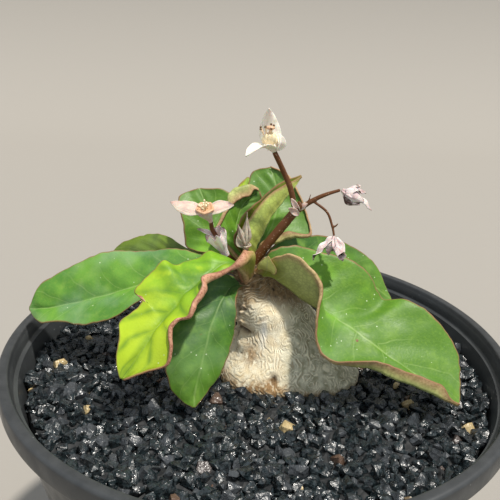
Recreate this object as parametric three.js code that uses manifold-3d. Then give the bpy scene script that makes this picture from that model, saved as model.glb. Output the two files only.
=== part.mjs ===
// A small caudex plant in a round nursery pot: a swollen wrinkled stem base in black lava grit,
// a rosette of waxy wavy leaves, and thin stalks with pale bracts, buds and withered blooms.
// Millimetres, +Z up, the origin on the pot's axis under its base.
import * as THREE from "three";
import { mergeVertices } from "three/addons/utils/BufferGeometryUtils.js";
import Module from "manifold-3d";

const wasm = await Module();
wasm.setup();

// Pot
const POT_HEIGHT = 95;
const RIM_RADIUS = 62.5;
const RIM_FACE = 2.4;
const RIM_DROP = 5;
const BASE_RADIUS = 41;
const WALL = 1.6;
const RIM_OVERHANG = 2.8;
const RIM_STEP_DEPTH = 4;
const RIM_ROUNDING = 0.9;
const DRAIN_HOLES = 8;
const DRAIN_HOLE_RADIUS = 3.5;
const DRAIN_RING_RADIUS = 30;
const POT_SIDES = 60;
const HOLE_SIDES = 12;

// Soil
const SOIL_LEVEL = 87;
const GAP = 0.32;
const HOLE_GAP = 0.45;
const GRAIN_HEIGHT = 1.1;
const EDGE_GRAIN_HEIGHT = 0.45;
const GRAIN_SHIFT = 0.8;
const SOIL_RINGS = 12;
const SOIL_SIDES = 60;
const SOIL_HOLLOW = 1.8;
const SOIL_HOLLOW_REACH = 6;
const SOIL_HEAP = 0.4;

// Caudex: its leaning outline as [height above the soil, axis x, axis y, radius across, radius in depth]
const CAUDEX_OUTLINE = [
  [-10, 7.5, 1, 10, 9.4],
  [-5, 7.8, 1, 16, 14.2],
  [-1, 7.9, 1, 17.7, 15.4],
  [2.5, 8, 1, 17.2, 15],
  [8, 6.9, 0.9, 13, 12.6],
  [13, 4.9, 0.7, 10.7, 10.5],
  [18, 2.8, 0.4, 9.1, 8.9],
  [22, 0.8, 0.1, 7, 6.8],
  [24.5, -1, -0.2, 5.5, 5.3],
  [27, -2.5, -0.4, 4.6, 4.4],
  [29, -2.8, -0.4, 2.2, 2.1],
];
const FOOT = 2;
const FOOT_SQUARENESS = 2.9;
const CAUDEX_RINGS = 30;
const CAUDEX_SIDES = 44;
const SQUARE_BELOW = 1;
const OVAL_ABOVE = 13;
const WRINKLE = 0.45;
const WRINKLE_STEP = 5.4;
const WRINKLES_START = [0.5, 2.5];
const NECK_FOLD = 0.5;
const NECK_FOLD_STEP = 2.6;
const NECK_FOLD_SHARE = 0.65;
const NECK_STARTS = [13, 17];
const NECK_ENDS = [24, 26];
const BARE_CROWN = [25, 27];
const CROWN_TOP = 29;

// Leaves
const BLADE = 0.7;
const PETIOLE = 1.7;
const PETIOLE_REACH = 0.1;
const TIP_REACH = 0.985;
const TIP_WIDTH = 0.12;
const HALF_COLUMNS = 3;
const FLAP_REST = 0.2;
const MARGIN_PHASE = 1.7;
const WAVES_START = [0.12, 0.4];
const WAVES_END = [0.9, 1];
const SEED = 20261130;

// Every leaf is the surface between a rib and two margins. Points are in mm from the pot's axis and
// the soil's level, from the foot of the leaf to its tip, and were placed by hand along the plant's leaves.
// The right leaf has a fold too, a small upright lobe before its hood, listed as the bracts are.
const LEAVES = {
  leaf_left: {
    colour: 0x5f9a3a,
    rows: 14,
    arch: 0.06,
    wave: [0.5, 3.5, 0.4],
    rib: [[-5, -1, 25.8], [-8, -1.2, 27], [-14, -1, 27.5], [-22.5, -1, 25], [-30.5, -1, 21.5],
      [-38.5, -1, 18.5], [-46.5, -1, 16], [-54, -0.5, 14], [-58.5, 0, 13.5]],
    far: [[-5, 0, 26], [-8, 0, 27.5], [-14.5, 2, 29], [-22.5, 4, 29.5], [-31, 5, 28.5],
      [-40, 5.5, 27], [-48, 4.5, 24], [-55.5, 2.5, 19], [-58.5, 0, 13.5]],
    near: [[-5, -1.9, 25.6], [-8, -2.4, 26.6], [-13.5, -4, 26.5], [-28.5, -7, 21], [-35.5, -8.5, 16],
      [-42.5, -8, 14], [-48, -6, 13.5], [-55, -3, 11.5], [-58.5, 0, 13.5]],
  },
  leaf_back_left: {
    colour: 0x568f38,
    rows: 10,
    arch: 0.06,
    wave: [0.4, 2.5, 1],
    rib: [[-4.6, 1.6, 25], [-8, 3.6, 26], [-18.5, 8, 25.9], [-25.7, 12.5, 24.6], [-33.9, 17.5, 22],
      [-44.8, 22, 18]],
    far: [[-4.2, 2.4, 25.2], [-7.5, 4.8, 26.3], [-20.4, 11, 27.4], [-24.7, 15, 28.6], [-29.6, 19, 28.3],
      [-34.6, 22, 26], [-39.9, 23.5, 22.5], [-44.8, 22, 18]],
    near: [[-5.2, 0.9, 24.8], [-8.6, 2.4, 25.6], [-18.7, 5, 24.3], [-25.9, 8.5, 22], [-34, 13.5, 18.9],
      [-44.8, 22, 18]],
  },
  leaf_front_left: {
    colour: 0xa3c83a,
    rows: 34,
    arch: 0.05,
    wave: [0.15, 5, 0],
    roll: {
      turn: 2.6,
      side: 1,
      radii: [[0, 0.3], [0.1, 1.4], [0.19, 1.4], [0.27, 0.5], [0.36, 0.95], [0.46, 0.95], [0.58, 0.6],
        [0.68, 0.35], [0.8, 0.4], [1, 0.25]],
      flap: [[0.04, 0], [0.1, 1], [0.18, 1], [0.26, 0]],
    },
    rib: [[-3.6, -3.4, 24.4], [-4.4, -6.6, 28.6], [-7, -9.5, 32], [-10.5, -12, 31.5], [-14, -15.5, 29.5],
      [-17, -18, 27.5], [-19, -20, 25], [-21.5, -22, 22.5], [-23.5, -24.5, 20], [-26, -27, 16.5],
      [-29, -29, 12.5]],
    far: [[-4.5, -3.4, 24.4], [-5.3, -4.7, 26.9], [-6, -5.9, 29.4], [-7.2, -6.5, 31.3], [-8.6, -7, 32.5],
      [-10.7, -7.4, 33.3], [-12.7, -8, 34.2], [-14.7, -8.9, 32.7], [-17.1, -10, 32.3], [-19.9, -11, 31.4],
      [-22.4, -12, 32.9], [-24.7, -13.6, 30.6], [-26.8, -15.5, 28.9], [-27.9, -17, 27.1],
      [-25.7, -18.5, 26.5], [-27.6, -19.9, 24.4], [-30.4, -21.5, 22], [-29.8, -23.8, 20.1],
      [-30.1, -26, 17.5], [-30, -27.6, 15.1], [-29, -29, 12.5]],
    near: [[-2.7, -3.5, 24.4], [-2.7, -5, 28.1], [-2.7, -6.8, 31.2], [-3.9, -8.6, 32],
      [-5.5, -10.4, 31.9], [-7.2, -11.7, 31.6], [-9.1, -13, 31.1], [-11.2, -15, 30.4], [-12.6, -17, 29.9],
      [-12.9, -18.6, 29], [-13.6, -20, 28.1], [-14.3, -21.3, 27.1], [-14.5, -22.5, 26.1],
      [-15.6, -23.3, 24.9], [-17.6, -24, 24.6], [-18.6, -25, 23.4], [-19, -26, 21.4], [-18.8, -27, 19.1],
      [-20, -28, 16.1], [-24.2, -28.5, 14.5], [-29, -29, 12.5]],
  },
  leaf_front: {
    colour: 0x477f34,
    rows: 12,
    arch: 0.05,
    wave: [0.4, 3, 0.5],
    rib: [[-4.8, -2.6, 23.2], [-7.2, -6.6, 24.6], [-9, -11.5, 23.8], [-11, -16, 20], [-12, -19, 16],
      [-13, -21.5, 11.5], [-14, -23.5, 7], [-14, -25, 3.5]],
    far: [[-5.6, -2, 23.2], [-8.1, -5.5, 27.3], [-12.3, -9.5, 27.4], [-16.7, -13, 24.5],
      [-19.8, -17, 20.9], [-20.7, -20.5, 16.2], [-20.3, -22.5, 10.1], [-17.7, -24.3, 5.8],
      [-14, -25, 3.5]],
    near: [[-4.2, -3.3, 23.2], [-5.6, -7.2, 24.2], [-6, -11.6, 22.6], [-6, -14.5, 17.5], [-7, -17, 13.5],
      [-9, -20, 9], [-11.5, -22.5, 6], [-14, -25, 3.5]],
  },
  leaf_right: {
    colour: 0x63ab35,
    rows: 18,
    arch: 0.04,
    wave: [0.3, 4, 0],
    roll: {
      turn: 1.9,
      side: -1,
      radii: [[0, 0.3], [0.62, 0.3], [0.7, 0.5], [1, 0.4]],
      flap: [[0.62, 0], [0.73, 1.9], [0.9, 1.9], [0.98, 0]],
    },
    fold: {
      half: 2.9,
      across: [1, -0.6, 0],
      cup: 0.1,
      rib: [[1.1, -4.6, 28.2], [1, -7, 30.3], [1.2, -7.8, 33.4]],
    },
    rib: [[-0.8, -2.4, 27], [2, -4.4, 27.4], [5.5, -6.5, 26], [9.5, -8, 23.5], [13.5, -9.5, 21.5],
      [17, -11, 20], [20.5, -12.5, 18.5], [24.5, -14.5, 16.5], [29.5, -16.5, 13.5], [34.5, -18.5, 11],
      [40.5, -20.5, 8], [45, -22.5, 5]],
    far: [[0.1, -1.8, 27], [1.7, -2.6, 32.2], [6.1, -2.2, 33.9], [12.8, -1, 32.6], [20, -1, 31],
      [25.5, -2, 27.5], [29.5, -4, 22.2], [34.2, -5.5, 22.7], [40.5, -8, 20], [46, -12.5, 14],
      [45.8, -18, 8.2], [45, -22.5, 5]],
    near: [[-1.5, -3.1, 27], [0.5, -5.5, 30], [3.5, -8.5, 33.5], [7.5, -10, 34], [12.5, -13, 29],
      [12.5, -15.5, 22.5], [12.9, -18, 16.6], [16.1, -20, 13.5], [24.4, -21, 13.3], [32.1, -22, 10.5],
      [39, -23, 8.1], [45, -22.5, 5]],
  },
  leaf_back_right: {
    colour: 0x3f7a35,
    rows: 11,
    arch: 0.06,
    wave: [0.4, 3, 2],
    rib: [[-0.4, 1.2, 25.6], [4.5, 6, 27.6], [11.5, 11, 27], [18.5, 15, 23.5], [26.5, 17.5, 19],
      [32.5, 18.5, 15], [37.5, 18, 11.5]],
    far: [[-1, 1.8, 25.7], [2.7, 8, 30], [10, 14, 31], [19, 20, 28.5], [27.5, 23, 24.5], [33.5, 23, 18.5],
      [37.5, 18, 11.5]],
    near: [[0.2, 0.6, 25.4], [6, 3.4, 27], [12.5, 6, 24.5], [19.5, 9, 21], [25.5, 12, 16.5],
      [32, 15, 13], [37.5, 18, 11.5]],
  },
  leaf_upright_left: {
    colour: 0x66a83c,
    rows: 10,
    arch: 0.05,
    wave: [0.5, 2.5, 0],
    petiole: 1.2,
    rib: [[-4.6, 1.8, 26.4], [-7, 4.4, 29], [-10.5, 7.5, 32.5], [-13, 10, 35], [-14.5, 12.5, 38],
      [-17, 15.5, 42.5]],
    far: [[-5, 1.4, 26.4], [-9.6, 4.2, 28.2], [-18.5, 6.5, 29], [-20, 8.5, 33.5], [-21.8, 12.8, 40.6],
      [-17, 15.5, 42.5]],
    near: [[-4.1, 2.2, 26.6], [-5.8, 5.6, 30.2], [-6, 9, 33.5], [-6.5, 12, 37], [-9, 14.8, 42],
      [-17, 15.5, 42.5]],
  },
  leaf_back: {
    colour: 0x9dbf3c,
    rows: 8,
    arch: 0.06,
    wave: [0.3, 2, 0],
    rib: [[-3, 2.4, 25.6], [-4.6, 9.5, 28.6], [-4.3, 19, 34.6], [-4.6, 24, 39.7], [-4.5, 27, 43.2]],
    far: [[-3.7, 2.3, 25.6], [-5.4, 9.2, 28.5], [-6.7, 19, 34.5], [-7.1, 24.5, 40.3], [-4.5, 27, 43.2]],
    near: [[-2.3, 2.5, 25.6], [-3.8, 9.8, 28.7], [-1.9, 19, 34.7], [-1.9, 24.5, 40.8], [-4.5, 27, 43.2]],
  },
  leaf_upright_back: {
    colour: 0x5fa53a,
    rows: 10,
    arch: 0.05,
    wave: [0.5, 2.5, 1],
    petiole: 1.3,
    roll: {
      turn: 2.6,
      side: -1,
      radii: [[0, 0.3], [0.12, 0.3], [0.2, 0.5], [0.5, 0.5], [0.6, 0.3]],
      flap: [[0.1, 0], [0.22, 1.1], [0.44, 1.2], [0.56, 0]],
    },
    rib: [[-1.7, 1.4, 27.4], [-1.1, 5.2, 29.6], [0.8, 7, 32.5], [2.5, 9.5, 35.8], [3.4, 12, 39.1],
      [3.3, 15, 42.5], [2.4, 17.2, 45.6], [1.3, 19, 47.9]],
    far: [[-2.4, 1.6, 27.4], [-3.5, 6.5, 30], [-4, 9.5, 33], [-4, 12, 36.5], [-4, 14.5, 40],
      [-4, 16.5, 44], [-3, 18, 47], [1.5, 19, 48]],
    near: [[-1, 1.2, 27.4], [-0.3, 4.2, 29.6], [1.3, 4.8, 31.1], [4, 5.6, 32.7], [7.3, 6.4, 33.3],
      [11.7, 7.5, 33.4], [11.1, 10.5, 37.2], [8.9, 13.8, 42.2], [5.5, 17.2, 46.3], [1.3, 19, 47.9]],
  },
  leaf_rolled: {
    colour: 0x8aa860,
    rows: 12,
    arch: 0.12,
    wave: [0.2, 2, 0],
    belly: 0.12,
    petiole: 1.1,
    rib: [[-2.4, 0.9, 27.8], [-2, 1.3, 31.9], [-0.6, 2.2, 35.2], [1.4, 3.6, 39.5], [4, 5.2, 42.9],
      [6.3, 6.6, 45.8], [8.9, 7.8, 48.7]],
    far: [[-2.7, 1.2, 28], [-7.1, 1, 33.1], [-6.1, 2.6, 36.7], [-3.8, 4.4, 40.7], [-0.2, 6, 43.8],
      [4.1, 7.4, 46.9], [8.9, 8, 48.9]],
    near: [[-2.9, 0.5, 28], [-5.3, -0.6, 33.5], [-5, 0.4, 37], [-2.9, 2, 40.3], [0.2, 3.8, 43.5],
      [3.8, 5.6, 46.2], [8.9, 7.6, 48.7]],
  },
  leaf_young: {
    colour: 0x7fae3e,
    rows: 11,
    arch: 0.08,
    wave: [0.3, 2.5, 0],
    roll: {
      turn: 3,
      side: 1,
      radii: [[0, 0.3], [0.45, 0.3], [0.55, 0.5], [1, 0.4]],
      flap: [[0.47, 0], [0.64, 2.2], [0.8, 2.2], [0.98, 0]],
    },
    petiole: 1.1,
    rib: [[-3.9, 0.9, 27.8], [-5.4, 3.2, 30.5], [-6.5, 5.4, 32.8], [-6.9, 7.4, 35.3], [-6.3, 9.2, 37.9],
      [-5.4, 10.4, 40], [-4.1, 11, 41.4], [-2.9, 11.3, 42.4], [-1.4, 11.5, 43.6]],
    far: [[-3.4, 1.3, 28], [-3.9, 4.4, 30.1], [-2.7, 6.4, 32.6], [-2.1, 8.4, 34.9], [-1.4, 10, 37.3],
      [-0.8, 10.8, 39.5], [-0.6, 11.2, 41], [-0.9, 11.4, 42.5], [-1.4, 11.5, 43.6]],
    near: [[-4.5, 0.7, 27.7], [-8.6, 2.4, 31.4], [-11.2, 4.2, 34.3], [-10.4, 6.4, 37.6],
      [-8.9, 8.2, 40.3], [-8.1, 9.8, 42.9], [-6.3, 10.8, 44.1], [-3.8, 11.3, 44.5], [-1.4, 11.5, 43.6]],
  },
};

// Bloom stalks as [points, radius at the foot, radius at the end]
const MAIN_STALK = [
  [[[-2.7, -1.2, 27.4], [-0.9, -1.1, 31.1], [3.8, -1, 37.8], [7.5, -1, 43]], 1.25, 1.05],
  [[[6.3, -1, 41.3], [7.5, -1, 42.9], [8.7, -1, 44]], 1, 1.25],
  [[[7.3, -1, 42], [5.6, -1, 47.9], [3.9, -1, 51.6], [1.5, -2.2, 56.4]], 0.72, 0.62],
  [[[7, -1, 42.2], [11.3, -1, 45.3], [14.2, -1, 46.8], [17.2, -1, 47.9]], 0.68, 0.4],
  [[[11, -1, 45.1], [14.4, -2, 42.8], [15.8, -3, 39.7], [16.3, -4, 37.7]], 0.42, 0.4],
  [[[9.3, -1.3, 43.8], [10, -1.2, 45], [10.5, -1, 46.7]], 0.35, 0.3],
];
const LEFT_STALK = [[[-5.6, -1.9, 27.6], [-6.9, -3.1, 29.8], [-8.6, -4.3, 32]], 0.9, 0.75];
const LEFT_PEDICEL = [[[-11, -5.9, 36.6], [-11.9, -6.2, 38.7], [-12.1, -6.5, 40.4]], 0.58, 0.52];
const BUD_STALK = [[[-4.2, -2.7, 28.4], [-4.3, -2.7, 31], [-4.4, -3.7, 33.4]], 0.7, 0.6];
const STALK_SIDES = 7;
const STALK_STEPS = 6;

// Bracts and scales: a rib, the half width, the direction of the width and the rise of the edges
const NODE_SCALES = [
  {
    half: 0.7,
    across: [1, 0, 0.8],
    cup: 0.3,
    rib: [[8.2, -1.6, 42.4], [6.8, -2, 44.4], [5.9, -1.9, 45.7]],
  },
  {
    half: 0.8,
    across: [0.2, 0, 1],
    cup: 0.3,
    rib: [[8.1, -1.5, 41.9], [6.6, -2.3, 42.8], [5.4, -2.1, 43.3]],
  },
  {
    half: 0.7,
    across: [-0.3, 0.3, 1],
    cup: 0.3,
    rib: [[8.2, -1.7, 43], [9, -2.2, 44.2], [9.8, -1.9, 44.6]],
  },
];
const TOP_BRACTS = [
  {
    half: 2.6,
    across: [1, 0, 0],
    cup: -0.35,
    rib: [[1.2, -2, 57.2], [0.5, -0.5, 59.6], [0.2, -0.4, 62.4], [-0.2, -1.1, 65.9]],
  },
  {
    half: 2.1,
    across: [8, -7, 1],
    cup: -0.35,
    rib: [[1.3, -3, 57.4], [-1.2, -5.6, 58], [-3.1, -7.6, 57.8], [-4.8, -9, 56.5]],
  },
  {
    half: 1.3,
    across: [0.7, 1, 0],
    cup: 0.6,
    rib: [[1.9, -2.8, 57.4], [2.6, -3.3, 58.7], [2.3, -3.1, 60.6]],
  },
];
const LEFT_BRACTS = [
  {
    half: 2.3,
    across: [0.1, 0.9, 0.5],
    cup: -0.3,
    rib: [[-14.1, -7.5, 43.4], [-16.9, -7.2, 44.2], [-19.2, -6.8, 44.6], [-21.4, -6.6, 45.1]],
  },
  {
    half: 2.1,
    across: [0.1, -0.9, -0.5],
    cup: -0.3,
    rib: [[-13, -7.5, 43.4], [-11.1, -7.2, 44.6], [-9.1, -6.8, 45.1], [-7.1, -6.6, 44.9]],
  },
];
const SIDE_WITHERED_BRACTS = [
  {
    half: 1.9,
    across: [0, 1, 0.2],
    cup: 0.35,
    rib: [[18.6, -1.2, 48], [21, -0.8, 48.5], [23.2, -0.5, 47.2]],
  },
  {
    half: 1.5,
    across: [0.2, 0.6, 1],
    cup: 0.1,
    rib: [[18.6, -1.7, 47.6], [20.6, -2.4, 47], [22.6, -2.2, 45.8]],
  },
  {
    half: 0.9,
    across: [0, 1, 0.4],
    cup: 0.35,
    rib: [[21, -1.4, 46.4], [23, -1.8, 45.6], [24.8, -2, 43.7]],
  },
  {
    half: 1.3,
    across: [1, 0.3, 0],
    cup: 0.35,
    rib: [[18.8, -1.4, 46.8], [20.2, -2.4, 45.7], [21.6, -2.8, 45]],
  },
];
const HANGING_WITHERED_BRACTS = [
  {
    half: 1.7,
    across: [0.5, 1, 0.6],
    cup: 0.35,
    rib: [[16.2, -4.6, 36.4], [14.6, -5.2, 35.4], [12.8, -5.8, 34], [11.4, -6, 32.4]],
  },
  {
    half: 1.6,
    across: [1, -0.4, 0.5],
    cup: 0.35,
    rib: [[16.4, -4.6, 36.4], [17.2, -5, 35.4], [17.9, -5.6, 33.9], [18.6, -6, 32.2]],
  },
  {
    half: 1.3,
    across: [1, 0.3, 0],
    cup: 0.35,
    rib: [[16.3, -4.7, 36.2], [15.8, -5.4, 35], [15.2, -5.4, 33.4]],
  },
];
const BRACT_ROWS = 6;
const SMALL_BRACT_ROWS = 4;
const BRACT_SPREAD = [-0.4, 0.45];

// Round bodies: an axis and a profile of [distance along it, radius]
const TOP_CUP = {
  sides: 8,
  from: [1.5, -2.3, 56.8],
  to: [0.9, -2.6, 59],
  profile: [[0, 0.8], [1, 1.3], [2, 1.5]],
};
const TOP_DISC = {
  sides: 8,
  from: [0.5, -3, 59.5],
  to: [-0.3, -3.6, 61.4],
  profile: [[0, 1.1], [0.7, 1.7], [1.5, 1.5], [2, 1]],
};
const TOP_STYLES = {
  foot: [0, -3.3, 60.6],
  neck: [-0.1, -3.5, 61.4],
  tips: [[-1.6, -3.9, 62.2], [0.1, -3.6, 62.8], [1.2, -3.8, 62.2]],
};
const LEFT_CUP = {
  sides: 10,
  from: [-12.3, -6.8, 40.95],
  to: [-13.6, -7.6, 43.9],
  profile: [[0, 0.6], [0.8, 0.7], [1.8, 1.3], [3, 2]],
};
const LEFT_DISC = {
  sides: 10,
  from: [-13.6, -7.8, 44.3],
  to: [-13.8, -8.6, 46.2],
  profile: [[0, 1.7], [0.4, 2.1], [0.9, 2.1], [1.2, 1.5]],
};
const LEFT_STYLES = {
  foot: [-13.6, -8, 44.8],
  neck: [-13.7, -8.3, 45.6],
  tips: [[-14.8, -8.8, 46.3], [-13.8, -8.2, 46.9], [-12.7, -8.6, 46.3]],
};
const STYLE_RADII = [0.4, 0.3];
const STYLE_SIDES = 5;
const STYLE_STEPS = 3;
const BRACT_FUNNEL = {
  sides: 10,
  from: [-8.9, -4.5, 32.3],
  to: [-11.6, -6, 37.6],
  profile: [[0, 0.8], [0.35, 1.1], [0.7, 1.7], [1, 2.2], [1, 1.5], [0.72, 0.9]],
  tooth: 0.5,
  longTooth: 1.7,
};
const BUDS = [
  {
    sides: 7,
    from: [-4.3, -4, 34.9],
    to: [-4.2, -4.1, 42],
    profile: [[0, 0.5], [1.3, 1.1], [2.6, 1.2], [4.4, 0.75], [6.2, 0.15]],
  },
  {
    sides: 7,
    from: [-4.6, -4.1, 34.7],
    to: [-6.5, -5, 40],
    profile: [[0, 0.5], [1.1, 1], [2.3, 1.1], [3.8, 0.7], [5.3, 0.15]],
  },
  { sides: 7, from: [-4.35, -4, 33.85], to: [-4.4, -4.1, 35.5], profile: [[0, 0.8], [0.9, 1.3], [1.6, 1]] },
];
const SIDE_WITHERED_CORE = [
  {
    sides: 7,
    from: [17.8, -1, 47.8],
    to: [22.5, -1.4, 45.4],
    profile: [[0, 0.6], [1.2, 1.7], [2.8, 2], [4.4, 1]],
  },
];
const HANGING_WITHERED_CORE = [
  { sides: 7, from: [16.2, -4.05, 37.3], to: [16.6, -4.8, 34.8], profile: [[0, 0.5], [1, 1.2], [2.6, 1.7]] },
  { sides: 7, from: [16.6, -4.6, 35.4], to: [18, -7.5, 33.8], profile: [[0, 1], [2, 1.1], [3.6, 1.3]] },
];

const COLOURS = {
  pot: 0x2d3234,
  soil: 0x23282c,
  caudex: 0xd9c49c,
  stalk: 0x7a4a3c,
  bract: 0xecdcd4,
  cup: 0xc9a79a,
  centre: 0xd98e5c,
  bud: 0xa89a8c,
  withered: 0xb39c96,
};

// A seeded run of numbers from 0 to 1.
function randomFrom(seed) {
  let state = seed;
  return () => {
    state = (state * 1664525 + 1013904223) % 4294967296;
    return state / 4294967296;
  };
}

const UP = new THREE.Vector3(0, 0, 1);
const vector = ([x, y, z]) => new THREE.Vector3(x, y, z);
const lerp = THREE.MathUtils.lerp;
const smooth = THREE.MathUtils.smoothstep;

function curveThrough(points) {
  return new THREE.CatmullRomCurve3(points.map(vector), false, "catmullrom", 0.5);
}

// A closed body from a list of rings with one count of points each, capped at both ends.
function loft(rings) {
  const sides = rings[0].length;
  const positions = rings.flat().flatMap((p) => [p.x, p.y, p.z]);
  const middle = (ring) => ring.reduce((sum, p) => sum.add(p), new THREE.Vector3()).divideScalar(sides);
  const start = rings.length * sides;
  positions.push(...middle(rings[0]).toArray());
  positions.push(...middle(rings.at(-1)).toArray());
  const faces = [];
  for (let k = 0; k < sides; k++) {
    const next = (k + 1) % sides;
    faces.push(start, next, k);
    const top = (rings.length - 1) * sides;
    faces.push(start + 1, top + k, top + next);
    for (let r = 0; r < rings.length - 1; r++) {
      const a = r * sides + k;
      const b = r * sides + next;
      faces.push(a, b, b + sides, a, b + sides, a + sides);
    }
  }
  return indexed(positions, faces);
}

function indexed(positions, faces) {
  const geometry = new THREE.BufferGeometry();
  geometry.setAttribute("position", new THREE.Float32BufferAttribute(positions, 3));
  geometry.setIndex(faces);
  return geometry;
}

function toSolid(geometry) {
  const plain = new THREE.BufferGeometry();
  plain.setAttribute("position", geometry.getAttribute("position"));
  plain.setIndex(geometry.index);
  const merged = mergeVertices(plain, 1e-4);
  const vertProperties = new Float32Array(merged.attributes.position.array);
  const triVerts = new Uint32Array(merged.index.array);
  return new wasm.Manifold(new wasm.Mesh({ numProp: 3, vertProperties, triVerts }));
}

function toGeometry(solid) {
  const mesh = solid.getMesh();
  return indexed(Array.from(mesh.vertProperties), Array.from(mesh.triVerts));
}

const joined = (geometries) => toGeometry(geometries.map(toSolid).reduce((all, one) => all.add(one)));

// What is left of a body after a cut: its largest piece.
function cutBy(geometry, cutter) {
  const pieces = toSolid(geometry).subtract(cutter).decompose();
  pieces.sort((a, b) => b.volume() - a.volume());
  return toGeometry(pieces[0]);
}

// A round tube along a path, its radius running evenly from one value to the other.
function tube([points, startRadius, endRadius], sides = STALK_SIDES, steps = STALK_STEPS) {
  const path = curveThrough(points);
  const frames = path.computeFrenetFrames(steps, false);
  const rings = [];
  for (let i = 0; i <= steps; i++) {
    const t = i / steps;
    const centre = path.getPointAt(t);
    const radius = lerp(startRadius, endRadius, t);
    const ring = [];
    for (let k = 0; k < sides; k++) {
      const angle = (2 * Math.PI * k) / sides;
      const across = frames.normals[i].clone().multiplyScalar(radius * Math.cos(angle));
      const along = frames.binormals[i].clone().multiplyScalar(radius * Math.sin(angle));
      ring.push(centre.clone().add(across).add(along));
    }
    rings.push(ring);
  }
  return loft(rings);
}

// Pot: turned wall, floor and rolled rim, with a ring of drain holes in the floor.
function potInnerRadius(height) {
  const top = POT_HEIGHT - RIM_DROP;
  return lerp(BASE_RADIUS, RIM_RADIUS - RIM_OVERHANG, height / top) - WALL;
}

function potWall() {
  const h = POT_HEIGHT;
  const underRim = RIM_RADIUS - RIM_OVERHANG;
  const profile = [
    [0, 0],
    [BASE_RADIUS - 1, 0],
    [BASE_RADIUS, 1],
    [underRim, h - RIM_DROP],
    [RIM_RADIUS - RIM_ROUNDING / 4, h - RIM_DROP + RIM_ROUNDING / 2],
    [RIM_RADIUS, h - RIM_ROUNDING],
    [RIM_RADIUS - RIM_ROUNDING / 2, h - RIM_ROUNDING / 6],
    [RIM_RADIUS - RIM_FACE / 2, h],
    [RIM_RADIUS - RIM_FACE + RIM_ROUNDING / 3, h - RIM_ROUNDING / 5],
    [RIM_RADIUS - RIM_FACE - RIM_ROUNDING / 3, h - RIM_ROUNDING],
    [RIM_RADIUS - RIM_FACE - RIM_ROUNDING, h - RIM_STEP_DEPTH + RIM_ROUNDING],
    [potInnerRadius(h - RIM_STEP_DEPTH), h - RIM_STEP_DEPTH],
    [potInnerRadius(WALL), WALL],
    [0, WALL],
  ];
  const points = profile.map(([r, z]) => new THREE.Vector2(r, z));
  return new THREE.LatheGeometry(points, POT_SIDES).rotateX(Math.PI / 2);
}

function potGeometry() {
  let solid = toSolid(potWall());
  for (let i = 0; i < DRAIN_HOLES; i++) {
    const angle = (2 * Math.PI * (i + 0.5)) / DRAIN_HOLES;
    const hole = new THREE.CylinderGeometry(DRAIN_HOLE_RADIUS, DRAIN_HOLE_RADIUS, 4 * WALL, HOLE_SIDES);
    hole.rotateX(Math.PI / 2);
    hole.translate(DRAIN_RING_RADIUS * Math.cos(angle), DRAIN_RING_RADIUS * Math.sin(angle), 0);
    solid = solid.subtract(toSolid(hole));
  }
  return toGeometry(solid);
}

// The caudex outline, read smoothly between the listed heights.
const caudexCurve = curveThrough(CAUDEX_OUTLINE.map(([z, x, y]) => [x, y, z]));
const caudexRadii = curveThrough(CAUDEX_OUTLINE.map(([, , , across, depth]) => [across, depth, 0]));

// A level ring round a centre: an oval high up, and a rounded square near the soil.
function ovalRing(centre, across, depth, sides, relief = () => 0) {
  const power = lerp(FOOT_SQUARENESS, 2, smooth(centre.z, SQUARE_BELOW, OVAL_ABOVE));
  const ring = [];
  for (let k = 0; k < sides; k++) {
    const angle = (2 * Math.PI * k) / sides;
    const [c, s] = [Math.cos(angle), Math.sin(angle)];
    const reach = (Math.abs(c) ** power + Math.abs(s) ** power) ** (-1 / power) + relief(angle) / across;
    ring.push(new THREE.Vector3(centre.x + across * reach * c, centre.y + depth * reach * s, centre.z));
  }
  return ring;
}

// Wriggling wrinkles all round above the soil, and ring folds on the neck.
function caudexRelief(angle, z) {
  const shown = smooth(z, ...WRINKLES_START) * (1 - smooth(z, ...BARE_CROWN));
  const bend = 1.4 * Math.sin(6 * angle + 0.5 * z) + 0.9 * Math.sin(11 * angle - 0.8 * z);
  const wrinkles = WRINKLE * (1 - 2 * Math.abs(Math.sin((2 * Math.PI * z) / WRINKLE_STEP + bend)));
  const neck = smooth(z, ...NECK_STARTS) * (1 - smooth(z, ...NECK_ENDS));
  const folds = NECK_FOLD * Math.sin((2 * Math.PI * z) / NECK_FOLD_STEP + 0.8 * Math.sin(angle));
  return shown * lerp(wrinkles, folds, NECK_FOLD_SHARE * neck);
}

// The caudex, or with grow the room that it needs round it.
function caudexGeometry(grow = 0) {
  const rings = [];
  for (let i = 0; i <= CAUDEX_RINGS; i++) {
    const centre = caudexCurve.getPoint(i / CAUDEX_RINGS);
    const radii = caudexRadii.getPoint(i / CAUDEX_RINGS);
    const relief = (angle) => caudexRelief(angle, centre.z);
    const ring = ovalRing(centre, radii.x + grow, radii.y + grow, CAUDEX_SIDES, relief);
    const raised = grow * smooth(centre.z, BARE_CROWN[0], CROWN_TOP);
    ring.forEach((point) => (point.z += raised));
    rings.push(ring);
  }
  return loft(rings);
}

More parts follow.
